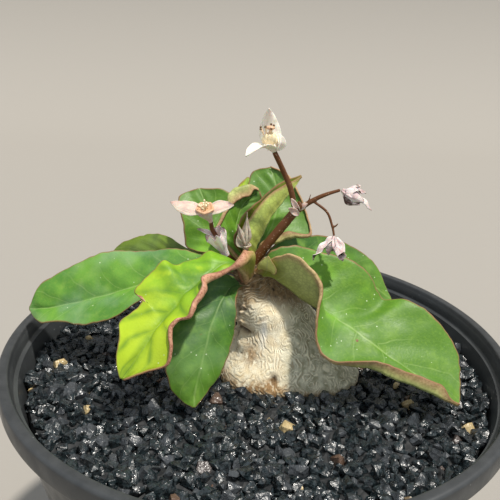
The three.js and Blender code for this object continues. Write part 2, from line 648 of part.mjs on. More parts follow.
// Soil: a plug that follows the pot, coarse grains on top, and a plain hole that the caudex stands in.
function soilGeometry() {
  const random = randomFrom(SEED);
  const floor = WALL + GAP;
  const [holeBottom] = CAUDEX_OUTLINE[0];
  const [, x, y, across, depth] = CAUDEX_OUTLINE[FOOT];
  const shoulder = SOIL_LEVEL - 2 * GRAIN_HEIGHT;
  const plug = (z, inset = 0) => {
    const ring = [];
    for (let k = 0; k < SOIL_SIDES; k++) {
      const angle = (2 * Math.PI * k) / SOIL_SIDES;
      const radius = potInnerRadius(z) - GAP - inset;
      ring.push(new THREE.Vector3(radius * Math.cos(angle), radius * Math.sin(angle), z));
    }
    return ring;
  };
  const hole = (z) => {
    const ring = ovalRing(new THREE.Vector3(x, y, 0), across + HOLE_GAP, depth + HOLE_GAP, SOIL_SIDES);
    return ring.map((point) => point.setZ(SOIL_LEVEL + z));
  };
  const rings = [plug(floor), plug(shoulder)];
  const outer = plug(shoulder, 0.3).map((point) => point.setZ(SOIL_LEVEL));
  const inner = hole(0);
  for (let i = 0; i <= SOIL_RINGS; i++) {
    const edge = i === 0 || i === SOIL_RINGS;
    const place = (point, k) => grain(point.clone().lerp(inner[k], i / SOIL_RINGS), inner[k], edge, random);
    rings.push(outer.map(place));
  }
  rings.push(hole(holeBottom - GAP));
  return loft(rings);
}

// One grain of the surface: shifted and raised at random, lower beside the caudex, heaped before it.
function grain(point, foot, edge, random) {
  const shift = edge ? 0 : GRAIN_SHIFT;
  const height = edge ? EDGE_GRAIN_HEIGHT : GRAIN_HEIGHT;
  const [, x, y] = CAUDEX_OUTLINE[FOOT];
  const side = Math.abs(foot.x - x) / Math.hypot(foot.x - x, foot.y - y);
  const away = point.distanceTo(foot) / SOIL_HOLLOW_REACH;
  const hollow = SOIL_HOLLOW * (side ** 2 - SOIL_HEAP) * Math.exp(-away * away);
  point.x += shift * (2 * random() - 1);
  point.y += shift * (2 * random() - 1);
  point.z += height * (2 * random() - 1) - hollow;
  return point;
}

// A value read from a table of [place, value], easing from each place to the next.
function eased(table, place) {
  let value = table[0][1];
  for (let k = 1; k < table.length; k++) {
    value += (table[k][1] - table[k - 1][1]) * smooth(place, table[k - 1][0], table[k][0]);
  }
  return value;
}

// One row of a leaf: points across it from the far margin over the rib to the near margin.
function bladeRow(leaf, curves, u) {
  const reach = TIP_REACH * u;
  const [rib, far, near] = curves.map((curve) => curve.getPoint(reach));
  const along = curves[0].getTangent(reach);
  const up = far.clone().sub(near).cross(along).normalize();
  const [height, count, phase] = leaf.wave;
  const row = [];
  for (let j = -HALF_COLUMNS; j <= HALF_COLUMNS; j++) {
    const [side, other] = j < 0 ? [far, near] : [near, far];
    const v = Math.abs(j) / HALF_COLUMNS;
    const point = rib.clone().lerp(side, v);
    const belly = (leaf.belly ?? 0) * rib.distanceTo(side) * Math.sin(Math.PI * v);
    point.addScaledVector(side.clone().sub(other).normalize(), belly);
    const lift = leaf.arch * rib.distanceTo(side) * Math.sin(Math.PI * v);
    const ripple = height * Math.sin(2 * Math.PI * count * u + phase + (j < 0 ? 0 : MARGIN_PHASE));
    const waved = smooth(u, ...WAVES_START) * (1 - smooth(u, ...WAVES_END));
    row.push(point.addScaledVector(up, lift + ripple * waved * v * v));
  }
  if (leaf.roll) row.push(...rolledMargin(leaf.roll, row, up, u));
  return row;
}

// The near margin turned up and over in a small arc, and on down in a flap where it has one.
function rolledMargin(roll, row, up, u) {
  const edge = row.at(-1);
  const outward = edge.clone().sub(row.at(-2)).normalize();
  const lift = up.clone().addScaledVector(outward, -up.dot(outward)).setLength(1).multiplyScalar(roll.side);
  const radius = eased(roll.radii, u);
  const points = [];
  for (const part of [1 / 3, 2 / 3, 1]) {
    const angle = roll.turn * part;
    const point = edge.clone().addScaledVector(outward, radius * Math.sin(angle));
    points.push(point.addScaledVector(lift, radius * (1 - Math.cos(angle))));
  }
  if (roll.flap) {
    const length = eased(roll.flap, u) + FLAP_REST;
    const end = points.at(-1).clone().addScaledVector(outward, length * Math.cos(roll.turn));
    points.push(end.addScaledVector(lift, length * Math.sin(roll.turn)));
  }
  return points;
}

// A thin closed body on a grid of points, split into triangles alike on both faces.
function sheet(grid, thickness) {
  const rows = grid.length;
  const columns = grid[0].length;
  const normalAt = (i, j) => {
    const down = grid[Math.min(i + 1, rows - 1)][j].clone().sub(grid[Math.max(i - 1, 0)][j]);
    const across = grid[i][Math.min(j + 1, columns - 1)].clone().sub(grid[i][Math.max(j - 1, 0)]);
    return across.cross(down).normalize();
  };
  const positions = [];
  for (const face of [-0.5, 0.5]) {
    for (let i = 0; i < rows; i++) {
      for (let j = 0; j < columns; j++) {
        const v = Math.abs((2 * j) / (columns - 1) - 1);
        const offset = face * thickness(i / (rows - 1), v);
        positions.push(...grid[i][j].clone().addScaledVector(normalAt(i, j), offset).toArray());
      }
    }
  }
  const under = (i, j) => i * columns + j;
  const over = (i, j) => rows * columns + under(i, j);
  const faces = [];
  for (let i = 0; i < rows - 1; i++) {
    for (let j = 0; j < columns - 1; j++) {
      faces.push(over(i, j), over(i, j + 1), over(i + 1, j + 1));
      faces.push(over(i, j), over(i + 1, j + 1), over(i + 1, j));
      faces.push(under(i, j), under(i + 1, j + 1), under(i, j + 1));
      faces.push(under(i, j), under(i + 1, j), under(i + 1, j + 1));
    }
  }
  const wall = (a, b) => {
    faces.push(under(...a), under(...b), over(...b), under(...a), over(...b), over(...a));
  };
  for (let j = 0; j < columns - 1; j++) {
    wall([0, j], [0, j + 1]);
    wall([rows - 1, j + 1], [rows - 1, j]);
  }
  for (let i = 0; i < rows - 1; i++) {
    wall([i + 1, 0], [i, 0]);
    wall([i, columns - 1], [i + 1, columns - 1]);
  }
  return indexed(positions, faces);
}

function leafGeometry(leaf) {
  const curves = [leaf.rib, leaf.far, leaf.near].map(curveThrough);
  const grid = [];
  for (let i = 0; i <= leaf.rows; i++) {
    grid.push(bladeRow(leaf, curves, i / leaf.rows));
  }
  const foot = (leaf.petiole ?? PETIOLE) - BLADE;
  const thickness = (u, v) => BLADE + foot * Math.exp(-((u / PETIOLE_REACH) ** 2)) * (1 - 0.5 * v);
  return sheet(grid, thickness);
}

// A small pointed bract: a cupped blade along its rib, widest just before its middle.
function bract({ rib, half, across, cup }, rows = BRACT_ROWS, halfColumns = 2) {
  const path = curveThrough(rib);
  const side = vector(across).normalize();
  const grid = [];
  for (let i = 0; i <= rows; i++) {
    const u = (TIP_REACH * i) / rows;
    const centre = path.getPoint(u);
    const up = side.clone().cross(path.getTangent(u)).normalize();
    const width = half * smooth(u, ...BRACT_SPREAD) * (1 - u ** 3) + TIP_WIDTH;
    const row = [];
    for (let j = -halfColumns; j <= halfColumns; j++) {
      const v = j / halfColumns;
      const edge = centre.clone().addScaledVector(side, v * width);
      row.push(edge.addScaledVector(up, cup * width * v * v));
    }
    grid.push(row);
  }
  return sheet(grid, () => BLADE);
}

const smallBract = (spec) => bract(spec, SMALL_BRACT_ROWS, 1);

// A round body along a straight axis; rise lifts single points of its widest ring into teeth.
function turned({ from, to, profile, sides }, rise = () => 0) {
  const start = vector(from);
  const axis = vector(to).sub(start).normalize();
  const turn = new THREE.Quaternion().setFromUnitVectors(UP, axis);
  const rings = profile.map(([distance, radius]) => {
    const ring = [];
    for (let k = 0; k < sides; k++) {
      const angle = (2 * Math.PI * k) / sides;
      const height = distance + rise(k, distance);
      const point = new THREE.Vector3(radius * Math.cos(angle), radius * Math.sin(angle), height);
      ring.push(point.applyQuaternion(turn).add(start));
    }
    return ring;
  });
  return loft(rings);
}

// The florets of a bloom: a small disc with three styles.
function florets(disc, styles) {
  const thread = (tip) => tube([[styles.foot, styles.neck, tip], ...STYLE_RADII], STYLE_SIDES, STYLE_STEPS);
  return joined([turned(disc), ...styles.tips.map(thread)]);
}

// The old bracts round the top of the left stalk: a ragged funnel, open upwards, with one long tooth.
function bractFunnel() {
  const { from, to, profile, sides, tooth, longTooth } = BRACT_FUNNEL;
  const length = vector(from).distanceTo(vector(to));
  const scaled = profile.map(([part, radius]) => [part * length, radius]);
  const rise = (k, distance) => {
    if (distance < length) return 0;
    return k === sides / 2 ? longTooth : tooth * (k % 2);
  };
  return turned({ from, to, profile: scaled, sides }, rise);
}

function mainStalk() {
  const scales = NODE_SCALES.map(smallBract);
  return joined([...MAIN_STALK.map((stalk) => tube(stalk)), ...scales]);
}

const fusedBloom = (bracts, bodies, blade = bract) =>
  joined([...bracts.map((spec) => blade(spec)), ...bodies.map((body) => turned(body))]);

function mesh(name, geometry, colour, roughness) {
  const material = new THREE.MeshStandardMaterial({ color: colour, roughness, metalness: 0 });
  const made = new THREE.Mesh(geometry, material);
  made.name = name;
  return made;
}

const part = new THREE.Group();
part.add(mesh("pot", potGeometry(), COLOURS.pot, 0.55));
part.add(mesh("soil", soilGeometry(), COLOURS.soil, 0.5));

const plant = new THREE.Group();
plant.position.z = SOIL_LEVEL;
part.add(plant);
plant.add(mesh("caudex", caudexGeometry(), COLOURS.caudex, 0.8));

const caudexClearance = toSolid(caudexGeometry(GAP));
for (const [name, leaf] of Object.entries(LEAVES)) {
  const whole = leaf.fold ? joined([leafGeometry(leaf), smallBract(leaf.fold)]) : leafGeometry(leaf);
  plant.add(mesh(name, cutBy(whole, caudexClearance), leaf.colour, 0.45));
}

const rooted = (stalk) => cutBy(tube(stalk), caudexClearance);
plant.add(mesh("stalk_main", cutBy(mainStalk(), caudexClearance), COLOURS.stalk, 0.5));
plant.add(mesh("stalk_left", rooted(LEFT_STALK), COLOURS.stalk, 0.5));
plant.add(mesh("stalk_buds", rooted(BUD_STALK), COLOURS.stalk, 0.5));
plant.add(mesh("pedicel_left", tube(LEFT_PEDICEL), COLOURS.stalk, 0.5));
plant.add(mesh("bract_cup_left", bractFunnel(), COLOURS.cup, 0.6));
plant.add(mesh("bloom_top_bracts", fusedBloom(TOP_BRACTS, [TOP_CUP]), COLOURS.bract, 0.6));
plant.add(mesh("bloom_top_centre", florets(TOP_DISC, TOP_STYLES), COLOURS.centre, 0.5));
plant.add(mesh("bloom_left_bracts", fusedBloom(LEFT_BRACTS, [LEFT_CUP]), COLOURS.bract, 0.6));
plant.add(mesh("bloom_left_centre", florets(LEFT_DISC, LEFT_STYLES), COLOURS.centre, 0.5));
plant.add(mesh("buds", fusedBloom([], BUDS), COLOURS.bud, 0.6));

const sideWithered = fusedBloom(SIDE_WITHERED_BRACTS, SIDE_WITHERED_CORE, smallBract);
const hangingWithered = fusedBloom(HANGING_WITHERED_BRACTS, HANGING_WITHERED_CORE, smallBract);
plant.add(mesh("bloom_side_withered", sideWithered, COLOURS.withered, 0.8));
plant.add(mesh("bloom_hanging_withered", hangingWithered, COLOURS.withered, 0.8));

export default part;
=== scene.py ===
# A small caudex plant in a black nursery pot: fine leaves, bark, grit, stalks and blooms,
# with their finishes, a plain pale stage, soft light and the camera.
# The plant is written in mm from the pot's axis and the soil's level; meshes are in metres.
import math

import bmesh
import bpy
import numpy as np
from mathutils import Matrix, Quaternion, Vector, noise
from mathutils.bvhtree import BVHTree


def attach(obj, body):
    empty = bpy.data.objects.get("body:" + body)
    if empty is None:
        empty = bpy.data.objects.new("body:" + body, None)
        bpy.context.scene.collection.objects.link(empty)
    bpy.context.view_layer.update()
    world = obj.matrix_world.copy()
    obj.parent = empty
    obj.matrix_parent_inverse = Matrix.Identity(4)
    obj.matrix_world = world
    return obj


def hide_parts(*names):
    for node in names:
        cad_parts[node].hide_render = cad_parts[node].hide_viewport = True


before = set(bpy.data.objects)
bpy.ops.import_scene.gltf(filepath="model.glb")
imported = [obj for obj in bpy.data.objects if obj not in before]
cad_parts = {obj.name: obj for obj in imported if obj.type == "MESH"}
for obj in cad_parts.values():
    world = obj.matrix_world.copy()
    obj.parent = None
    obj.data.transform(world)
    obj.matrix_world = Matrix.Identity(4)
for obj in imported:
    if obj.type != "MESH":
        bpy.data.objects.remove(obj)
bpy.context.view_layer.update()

MM = 0.001
SEED = 20261130
NOISE_SHIFT = 17.3

# Pot; inside the rim, places are given as their distance inward and down from its inner edge
POT_HEIGHT = 95
RIM_RADIUS = 62.5
RIM_FACE = 2.4
RIM_DROP = 5
BASE_RADIUS = 41
WALL = 1.6
RIM_OVERHANG = 2.8
RIM_STEP_DEPTH = 4
FOOT_ROUNDING = 1
RIM_ROUNDING = 0.9
LIP_ROUNDING = 0.5
LIP_INSET = 0.4
RIM_INSIDE = [(0.5, 1.2), (0.8, 3.2)]
STEP_CORNER = (1.2, 3.4)
STEP_ROUNDING = 0.4
AXIS_GAP = 0.01
BASE_BAND = 6
RIM_BAND = 12
RIM_SHEEN_FROM = 1.6
RIM_SHEEN_FULL = 0.2
SHARP_EDGE = 40
DRAIN_HOLES = 8
DRAIN_HOLE_RADIUS = 3.5
DRAIN_HOLE_SIDES = 32
DRAIN_RING_RADIUS = 30
POT_SIDES = 240

# Grit, in layers: [spacing, least and most radius of a grain, rise above the soil]
SOIL_LEVEL = 87
GRAIN_LAYERS = [(1.7, (0.6, 1.1), -0.5), (2.3, (1.1, 2.15), 0.25)]
GRAIN_SHAPES = 14
GRAIN_CORNERS = 15
CORNER_REACH = (0.8, 1.1)
GRAIN_STRETCH = (0.8, 1.2)
GRAIN_UNEVENNESS = 0.4
LOWEST_GRAIN = -5
CELL_SHARE = 1.06
ROW_SHARE = 0.87
JITTER = 0.33

# Caudex: [height above the soil, axis x, axis y, radius across, radius in depth]
CAUDEX_OUTLINE = [
    [-10, 7.5, 1, 10, 9.4],
    [-5, 7.8, 1, 16, 14.2],
    [-1, 7.9, 1, 17.7, 15.4],
    [2.5, 8, 1, 17.2, 15],
    [8, 6.9, 0.9, 13, 12.6],
    [13, 4.9, 0.7, 10.7, 10.5],
    [18, 2.8, 0.4, 9.1, 8.9],
    [22, 0.8, 0.1, 7, 6.8],
    [24.5, -1, -0.2, 5.5, 5.3],
    [27, -2.5, -0.4, 4.6, 4.4],
    [29, -2.8, -0.4, 2.2, 2.1],
]
FOOT_SQUARENESS = 2.9
SQUARE_BELOW = 1
OVAL_ABOVE = 13
CAUDEX_RINGS = 200
CAUDEX_SIDES = 480
FRONT_CROWDING = 0.42

# Bark noises: [height, wavelength, seed]; stripes: their direction in x and z, their step and their waver
BARK_LOOPS = [(4.6, 4, 11), (1.3, 1.6, 12)]
BARK_STRANDS = {"across": (1, 0.3), "step": 1.1, "waver": [(1.5, 2.8, 13), (0.9, 1.2, 14)]}
BARK_FANS = {"across": (0.4, 1), "step": 0.95, "waver": [(1.2, 3.4, 18), (0.7, 1.3, 19)]}
NECK_RINGS = {"across": (-0.4, 1), "step": 0.85, "waver": [(1.4, 2.4, 15), (0.4, 1, 16)]}
BARK_LUMPS = [(0.22, 7, 3), (0.14, 2.6, 4)]
WRINKLE_WIDTH = 0.2
WRINKLE_DEPTH = 0.09
LEAST_STEEPNESS = 0.5
BREAK_SIZE = 2
BREAK_SEED = 17
BREAK_EDGE = 0.8
BARK_BREAK = -0.7
NECK_BREAK = -1.1
FLAKE_HEIGHT = 0.7
FLAKE_SIZE = 2.4
FLAKE_SEED = 6
FLAKE_FLATNESS = 1.6
FLAKE_EDGE = (0.25, 0.5)

# Zones of the bark: where each starts and where it is full
STRANDS_FORWARD = (4, 8)
STRANDS_LEFTWARD = (-6, -2)
FANS_LEFTWARD = (1, 4.5)
FANS_END = (7.5, 11)
NECK_UPWARD = (13.5, 15.5)
NECK_LEFTWARD = (-4, 0)
BARK_UPWARD = (-2, 0)
BARK_END = (26, 28)
FLAKES_LEFTWARD = (2.5, 4.5)
FLAKES_UPWARD = (8, 10)
CROWN_UPWARD = (19.5, 24)
CROWN_LEAN = 0.25
SOIL_LINE_DOWNWARD = (-3.5, -0.8)
SOIL_LINE_LEAN = 0.06
# painted shade: where the caudex's right side turns grey
SHADED_SIDE_RIGHTWARD = (4, 9)

# Spots of the bark: [place, size along each axis]
BARK_PITS = [
    [(3.6, -12.9, 3.2), (1.1, 1.4, 1.5)],
    [(-3.6, -5, 12.9), (3, 3, 0.8)],
    [(-5.8, -2.2, 11.2), (0.9, 2, 2.4)],
    [(-5.2, -3.6, 17.2), (0.8, 1, 1.2)],
    [(-3.6, -5.2, 18.6), (0.9, 1, 0.5)],
]
PIT_DEPTH = 1.2
BARK_SWELLS = [[(-4.6, -5.6, 9.6), (2.6, 3, 1.9)], [(-4.6, -4, 15), (2.4, 3, 1)]]
SWELL_HEIGHT = 0.9
PALE_STREAK = [(0.9, -8.4, 14), (0.8, 3, 3.6)]
# The spot at (-5, -6.5, 14.6), under the neck's ring, is painted shade; the others are stains.
STAINS_AND_SHADE = [
    [(-1.9, -9.4, 8.4), (2.4, 3, 2.8)],
    [(2.4, -13, 2.2), (4, 2.5, 1.8)],
    [(-4, -5, 20.8), (2, 3, 1.8)],
    [(-5, -6.5, 14.6), (2.4, 3, 1.1)],
    [(-6, -5, 18.6), (1.5, 3, 1.6)],
]
# share of the rusty tint on the crown, where it is painted shade
CROWN_SHADE_AND_STAIN = 0.35
SOIL_LINE_STAIN = 0.85
SPOT_STAIN_AND_SHADE = 0.9

# Leaves
FOLD_PLACE = 0.3
BLADE = 0.55
EDGE_BLADE = 0.42
EDGE_THINNING = (0, 2.5)
PETIOLE = 1.7
PETIOLE_REACH = 0.1
FOOT_THINNING = 0.5
TIP_REACH = 0.993
TOOTH_SIZE = 1.9
TOOTH_SEED = 21
TOOTH_HEIGHT = 0.35
FULL_TEETH_WIDTH = 3
MARGIN_PHASE = 1.7
WAVES_START = (0.12, 0.4)
WAVES_END = (0.9, 1)
VEIN_SWEEP = 1.4
VEIN_CURVE = 0.8
VEIN_REACH = 1.3
VEIN_STAGGER = 0.35
PILLOW_HEIGHT = 0.1
PILLOWS_FROM_MARGIN = (0.5, 3)
GROOVE_WIDTH = 0.45
GROOVE_DEPTH = 0.16
GROOVE_FROM_MARGIN = (0.5, 2)
RIB_DEPTH = 0.22
UNDER_RELIEF = 0.6
HALF_COLUMNS = 20
ROLL_COLUMNS = 10
FLAP_REST = 0.2
ABOVE_CROWN = np.array([-2, 0, 60])

# Every leaf is the surface between a rib and two margins, from its foot to its tip.
LEAVES = {
    "leaf_left": {
        "rows": 110, "arch": 0.06, "wave": (0.5, 3.5, 0.4), "veins": 9, "finish": "leaf_waxy",
        "rib": [[-5, -1, 25.8], [-8, -1.2, 27], [-14, -1, 27.5], [-22.5, -1, 25], [-30.5, -1, 21.5],
                [-38.5, -1, 18.5], [-46.5, -1, 16], [-54, -0.5, 14], [-58.5, 0, 13.5]],
        "far": [[-5, 0, 26], [-8, 0, 27.5], [-14.5, 2, 29], [-22.5, 4, 29.5], [-31, 5, 28.5],
                [-40, 5.5, 27], [-48, 4.5, 24], [-55.5, 2.5, 19], [-58.5, 0, 13.5]],
        "near": [[-5, -1.9, 25.6], [-8, -2.4, 26.6], [-13.5, -4, 26.5], [-28.5, -7, 21],
                 [-35.5, -8.5, 16], [-42.5, -8, 14], [-48, -6, 13.5], [-55, -3, 11.5],
                 [-58.5, 0, 13.5]],
    },
    "leaf_back_left": {
        "rows": 80, "arch": 0.06, "wave": (0.4, 2.5, 1), "veins": 7, "finish": "leaf_olive",
        "rib": [[-4.6, 1.6, 25], [-8, 3.6, 26], [-18.5, 8, 25.9], [-25.7, 12.5, 24.6],
                [-33.9, 17.5, 22], [-44.8, 22, 18]],
        "far": [[-4.2, 2.4, 25.2], [-7.5, 4.8, 26.3], [-20.4, 11, 27.4], [-24.7, 15, 28.6],
                [-29.6, 19, 28.3], [-34.6, 22, 26], [-39.9, 23.5, 22.5], [-44.8, 22, 18]],
        "near": [[-5.2, 0.9, 24.8], [-8.6, 2.4, 25.6], [-18.7, 5, 24.3], [-25.9, 8.5, 22],
                 [-34, 13.5, 18.9], [-44.8, 22, 18]],
    },
    "leaf_front_left": {
        "rows": 130, "arch": 0.05, "wave": (0.15, 5, 0), "veins": 8, "finish": "leaf_yellow",
        "roll": {"turn": 2.6, "side": 1,
                 "radii": [[0, 0.3], [0.1, 1.4], [0.19, 1.4], [0.27, 0.5], [0.36, 0.95], [0.46, 0.95],
                           [0.58, 0.6], [0.68, 0.35], [0.8, 0.4], [1, 0.25]],
                 "flap": [[0.04, 0], [0.1, 1], [0.18, 1], [0.26, 0]]},
        "rib": [[-3.6, -3.4, 24.4], [-4.4, -6.6, 28.6], [-7, -9.5, 32], [-10.5, -12, 31.5],
                [-14, -15.5, 29.5], [-17, -18, 27.5], [-19, -20, 25], [-21.5, -22, 22.5],
                [-23.5, -24.5, 20], [-26, -27, 16.5], [-29, -29, 12.5]],
        "far": [[-4.5, -3.4, 24.4], [-5.3, -4.7, 26.9], [-6, -5.9, 29.4], [-7.2, -6.5, 31.3],
                 [-8.6, -7, 32.5], [-10.7, -7.4, 33.3], [-12.7, -8, 34.2], [-14.7, -8.9, 32.7],
                 [-17.1, -10, 32.3], [-19.9, -11, 31.4], [-22.4, -12, 32.9], [-24.7, -13.6, 30.6],
                 [-26.8, -15.5, 28.9], [-27.9, -17, 27.1], [-25.7, -18.5, 26.5],
                 [-27.6, -19.9, 24.4], [-30.4, -21.5, 22], [-29.8, -23.8, 20.1],
                 [-30.1, -26, 17.5], [-30, -27.6, 15.1], [-29, -29, 12.5]],
        "near": [[-2.7, -3.5, 24.4], [-2.7, -5, 28.1], [-2.7, -6.8, 31.2], [-3.9, -8.6, 32],
                 [-5.5, -10.4, 31.9], [-7.2, -11.7, 31.6], [-9.1, -13, 31.1], [-11.2, -15, 30.4],
                 [-12.6, -17, 29.9], [-12.9, -18.6, 29], [-13.6, -20, 28.1], [-14.3, -21.3, 27.1],
                 [-14.5, -22.5, 26.1], [-15.6, -23.3, 24.9], [-17.6, -24, 24.6],
                 [-18.6, -25, 23.4], [-19, -26, 21.4], [-18.8, -27, 19.1], [-20, -28, 16.1],
                 [-24.2, -28.5, 14.5], [-29, -29, 12.5]],
    },
    "leaf_front": {
        "rows": 100, "arch": 0.05, "wave": (0.4, 3, 0.5), "veins": 7, "finish": "leaf_dark",
        "rib": [[-4.8, -2.6, 23.2], [-7.2, -6.6, 24.6], [-9, -11.5, 23.8], [-11, -16, 20],
                [-12, -19, 16], [-13, -21.5, 11.5], [-14, -23.5, 7], [-14, -25, 3.5]],
        "far": [[-5.6, -2, 23.2], [-8.1, -5.5, 27.3], [-12.3, -9.5, 27.4], [-16.7, -13, 24.5],
                [-19.8, -17, 20.9], [-20.7, -20.5, 16.2], [-20.3, -22.5, 10.1],
                [-17.7, -24.3, 5.8], [-14, -25, 3.5]],
        "near": [[-4.2, -3.3, 23.2], [-5.6, -7.2, 24.2], [-6, -11.6, 22.6], [-6, -14.5, 17.5],
                 [-7, -17, 13.5], [-9, -20, 9], [-11.5, -22.5, 6], [-14, -25, 3.5]],
    },
    "leaf_right": {
        "rows": 130, "arch": 0.04, "wave": (0.3, 4, 0), "veins": 9, "finish": "leaf",
        "fold": {"rib": [[1.1, -4.6, 28.2], [1, -7, 30.3], [1.2, -7.8, 33.4]], "half": 2.9,
                 "across": (1, -0.6, 0), "cup": 0.1},
        "roll": {"turn": 1.9, "side": -1, "radii": [[0, 0.3], [0.62, 0.3], [0.7, 0.5], [1, 0.4]],
                 "flap": [[0.62, 0], [0.73, 1.9], [0.9, 1.9], [0.98, 0]]},
        "rib": [[-0.8, -2.4, 27], [2, -4.4, 27.4], [5.5, -6.5, 26], [9.5, -8, 23.5],
                [13.5, -9.5, 21.5], [17, -11, 20], [20.5, -12.5, 18.5], [24.5, -14.5, 16.5],
                [29.5, -16.5, 13.5], [34.5, -18.5, 11], [40.5, -20.5, 8], [45, -22.5, 5]],
        "far": [[0.1, -1.8, 27], [1.7, -2.6, 32.2], [6.1, -2.2, 33.9], [12.8, -1, 32.6],
                [20, -1, 31], [25.5, -2, 27.5], [29.5, -4, 22.2], [34.2, -5.5, 22.7],
                [40.5, -8, 20], [46, -12.5, 14], [45.8, -18, 8.2], [45, -22.5, 5]],
        "near": [[-1.5, -3.1, 27], [0.5, -5.5, 30], [3.5, -8.5, 33.5], [7.5, -10, 34],
                 [12.5, -13, 29], [12.5, -15.5, 22.5], [12.9, -18, 16.6], [16.1, -20, 13.5],
                 [24.4, -21, 13.3], [32.1, -22, 10.5], [39, -23, 8.1], [45, -22.5, 5]],
    },
    "leaf_back_right": {
        "rows": 90, "arch": 0.06, "wave": (0.4, 3, 2), "veins": 7, "finish": "leaf_dark",
        "rib": [[-0.4, 1.2, 25.6], [4.5, 6, 27.6], [11.5, 11, 27], [18.5, 15, 23.5],
                [26.5, 17.5, 19], [32.5, 18.5, 15], [37.5, 18, 11.5]],
        "far": [[-1, 1.8, 25.7], [2.7, 8, 30], [10, 14, 31], [19, 20, 28.5], [27.5, 23, 24.5],
                [33.5, 23, 18.5], [37.5, 18, 11.5]],
        "near": [[0.2, 0.6, 25.4], [6, 3.4, 27], [12.5, 6, 24.5], [19.5, 9, 21], [25.5, 12, 16.5],
                 [32, 15, 13], [37.5, 18, 11.5]],
    },
    "leaf_upright_left": {
        "rows": 80, "arch": 0.05, "wave": (0.5, 2.5, 0), "veins": 6, "finish": "leaf",
        "petiole": 1.2,
        "rib": [[-4.6, 1.8, 26.4], [-7, 4.4, 29], [-10.5, 7.5, 32.5], [-13, 10, 35],
                [-14.5, 12.5, 38], [-17, 15.5, 42.5]],
        "far": [[-5, 1.4, 26.4], [-9.6, 4.2, 28.2], [-18.5, 6.5, 29], [-20, 8.5, 33.5],
                [-21.8, 12.8, 40.6], [-17, 15.5, 42.5]],
        "near": [[-4.1, 2.2, 26.6], [-5.8, 5.6, 30.2], [-6, 9, 33.5], [-6.5, 12, 37],
                 [-9, 14.8, 42], [-17, 15.5, 42.5]],
    },
    "leaf_back": {
        "rows": 70, "arch": 0.06, "wave": (0.3, 2, 0), "veins": 6, "finish": "leaf_yellow",
        "rib": [[-3, 2.4, 25.6], [-4.6, 9.5, 28.6], [-4.3, 19, 34.6], [-4.6, 24, 39.7],
                [-4.5, 27, 43.2]],
        "far": [[-3.7, 2.3, 25.6], [-5.4, 9.2, 28.5], [-6.7, 19, 34.5], [-7.1, 24.5, 40.3],
                [-4.5, 27, 43.2]],
        "near": [[-2.3, 2.5, 25.6], [-3.8, 9.8, 28.7], [-1.9, 19, 34.7], [-1.9, 24.5, 40.8],
                 [-4.5, 27, 43.2]],
    },
    "leaf_upright_back": {
        "rows": 80, "arch": 0.05, "wave": (0.5, 2.5, 1), "veins": 6, "finish": "leaf",
        "petiole": 1.3,
        "roll": {"turn": 2.6, "side": -1,
                 "radii": [[0, 0.3], [0.12, 0.3], [0.2, 0.5], [0.5, 0.5], [0.6, 0.3]],
                 "flap": [[0.1, 0], [0.22, 1.1], [0.44, 1.2], [0.56, 0]]},
        "rib": [[-1.7, 1.4, 27.4], [-1.1, 5.2, 29.6], [0.8, 7, 32.5], [2.5, 9.5, 35.8],
                [3.4, 12, 39.1], [3.3, 15, 42.5], [2.4, 17.2, 45.6], [1.3, 19, 47.9]],
        "far": [[-2.4, 1.6, 27.4], [-3.5, 6.5, 30], [-4, 9.5, 33], [-4, 12, 36.5], [-4, 14.5, 40],
                 [-4, 16.5, 44], [-3, 18, 47], [1.5, 19, 48]],
        "near": [[-1, 1.2, 27.4], [-0.3, 4.2, 29.6], [1.3, 4.8, 31.1], [4, 5.6, 32.7],
                 [7.3, 6.4, 33.3], [11.7, 7.5, 33.4], [11.1, 10.5, 37.2], [8.9, 13.8, 42.2],
                 [5.5, 17.2, 46.3], [1.3, 19, 47.9]],
    },
    "leaf_rolled": {
        "rows": 90, "arch": 0.12, "wave": (0.2, 2, 0), "veins": 10, "finish": "leaf_pale",
        "petiole": 1.1, "belly": 0.12,
        "rib": [[-2.4, 0.9, 27.8], [-2, 1.3, 31.9], [-0.6, 2.2, 35.2], [1.4, 3.6, 39.5],
                [4, 5.2, 42.9], [6.3, 6.6, 45.8], [8.9, 7.8, 48.7]],
        "far": [[-2.7, 1.2, 28], [-7.1, 1, 33.1], [-6.1, 2.6, 36.7], [-3.8, 4.4, 40.7],
                [-0.2, 6, 43.8], [4.1, 7.4, 46.9], [8.9, 8, 48.9]],
        "near": [[-2.9, 0.5, 28], [-5.3, -0.6, 33.5], [-5, 0.4, 37], [-2.9, 2, 40.3],
                 [0.2, 3.8, 43.5], [3.8, 5.6, 46.2], [8.9, 7.6, 48.7]],
    },
    "leaf_young": {
        "rows": 80, "arch": 0.08, "wave": (0.3, 2.5, 0), "veins": 7, "finish": "leaf",
        "petiole": 1.1,
        "roll": {"turn": 3, "side": 1, "radii": [[0, 0.3], [0.45, 0.3], [0.55, 0.5], [1, 0.4]],
                 "flap": [[0.47, 0], [0.64, 2.2], [0.8, 2.2], [0.98, 0]]},
        "rib": [[-3.9, 0.9, 27.8], [-5.4, 3.2, 30.5], [-6.5, 5.4, 32.8], [-6.9, 7.4, 35.3],
                [-6.3, 9.2, 37.9], [-5.4, 10.4, 40], [-4.1, 11, 41.4], [-2.9, 11.3, 42.4],
                [-1.4, 11.5, 43.6]],
        "far": [[-3.4, 1.3, 28], [-3.9, 4.4, 30.1], [-2.7, 6.4, 32.6], [-2.1, 8.4, 34.9],
                [-1.4, 10, 37.3], [-0.8, 10.8, 39.5], [-0.6, 11.2, 41], [-0.9, 11.4, 42.5],
                [-1.4, 11.5, 43.6]],
        "near": [[-4.5, 0.7, 27.7], [-8.6, 2.4, 31.4], [-11.2, 4.2, 34.3], [-10.4, 6.4, 37.6],
                 [-8.9, 8.2, 40.3], [-8.1, 9.8, 42.9], [-6.3, 10.8, 44.1], [-3.8, 11.3, 44.5],
                 [-1.4, 11.5, 43.6]],
    },
}

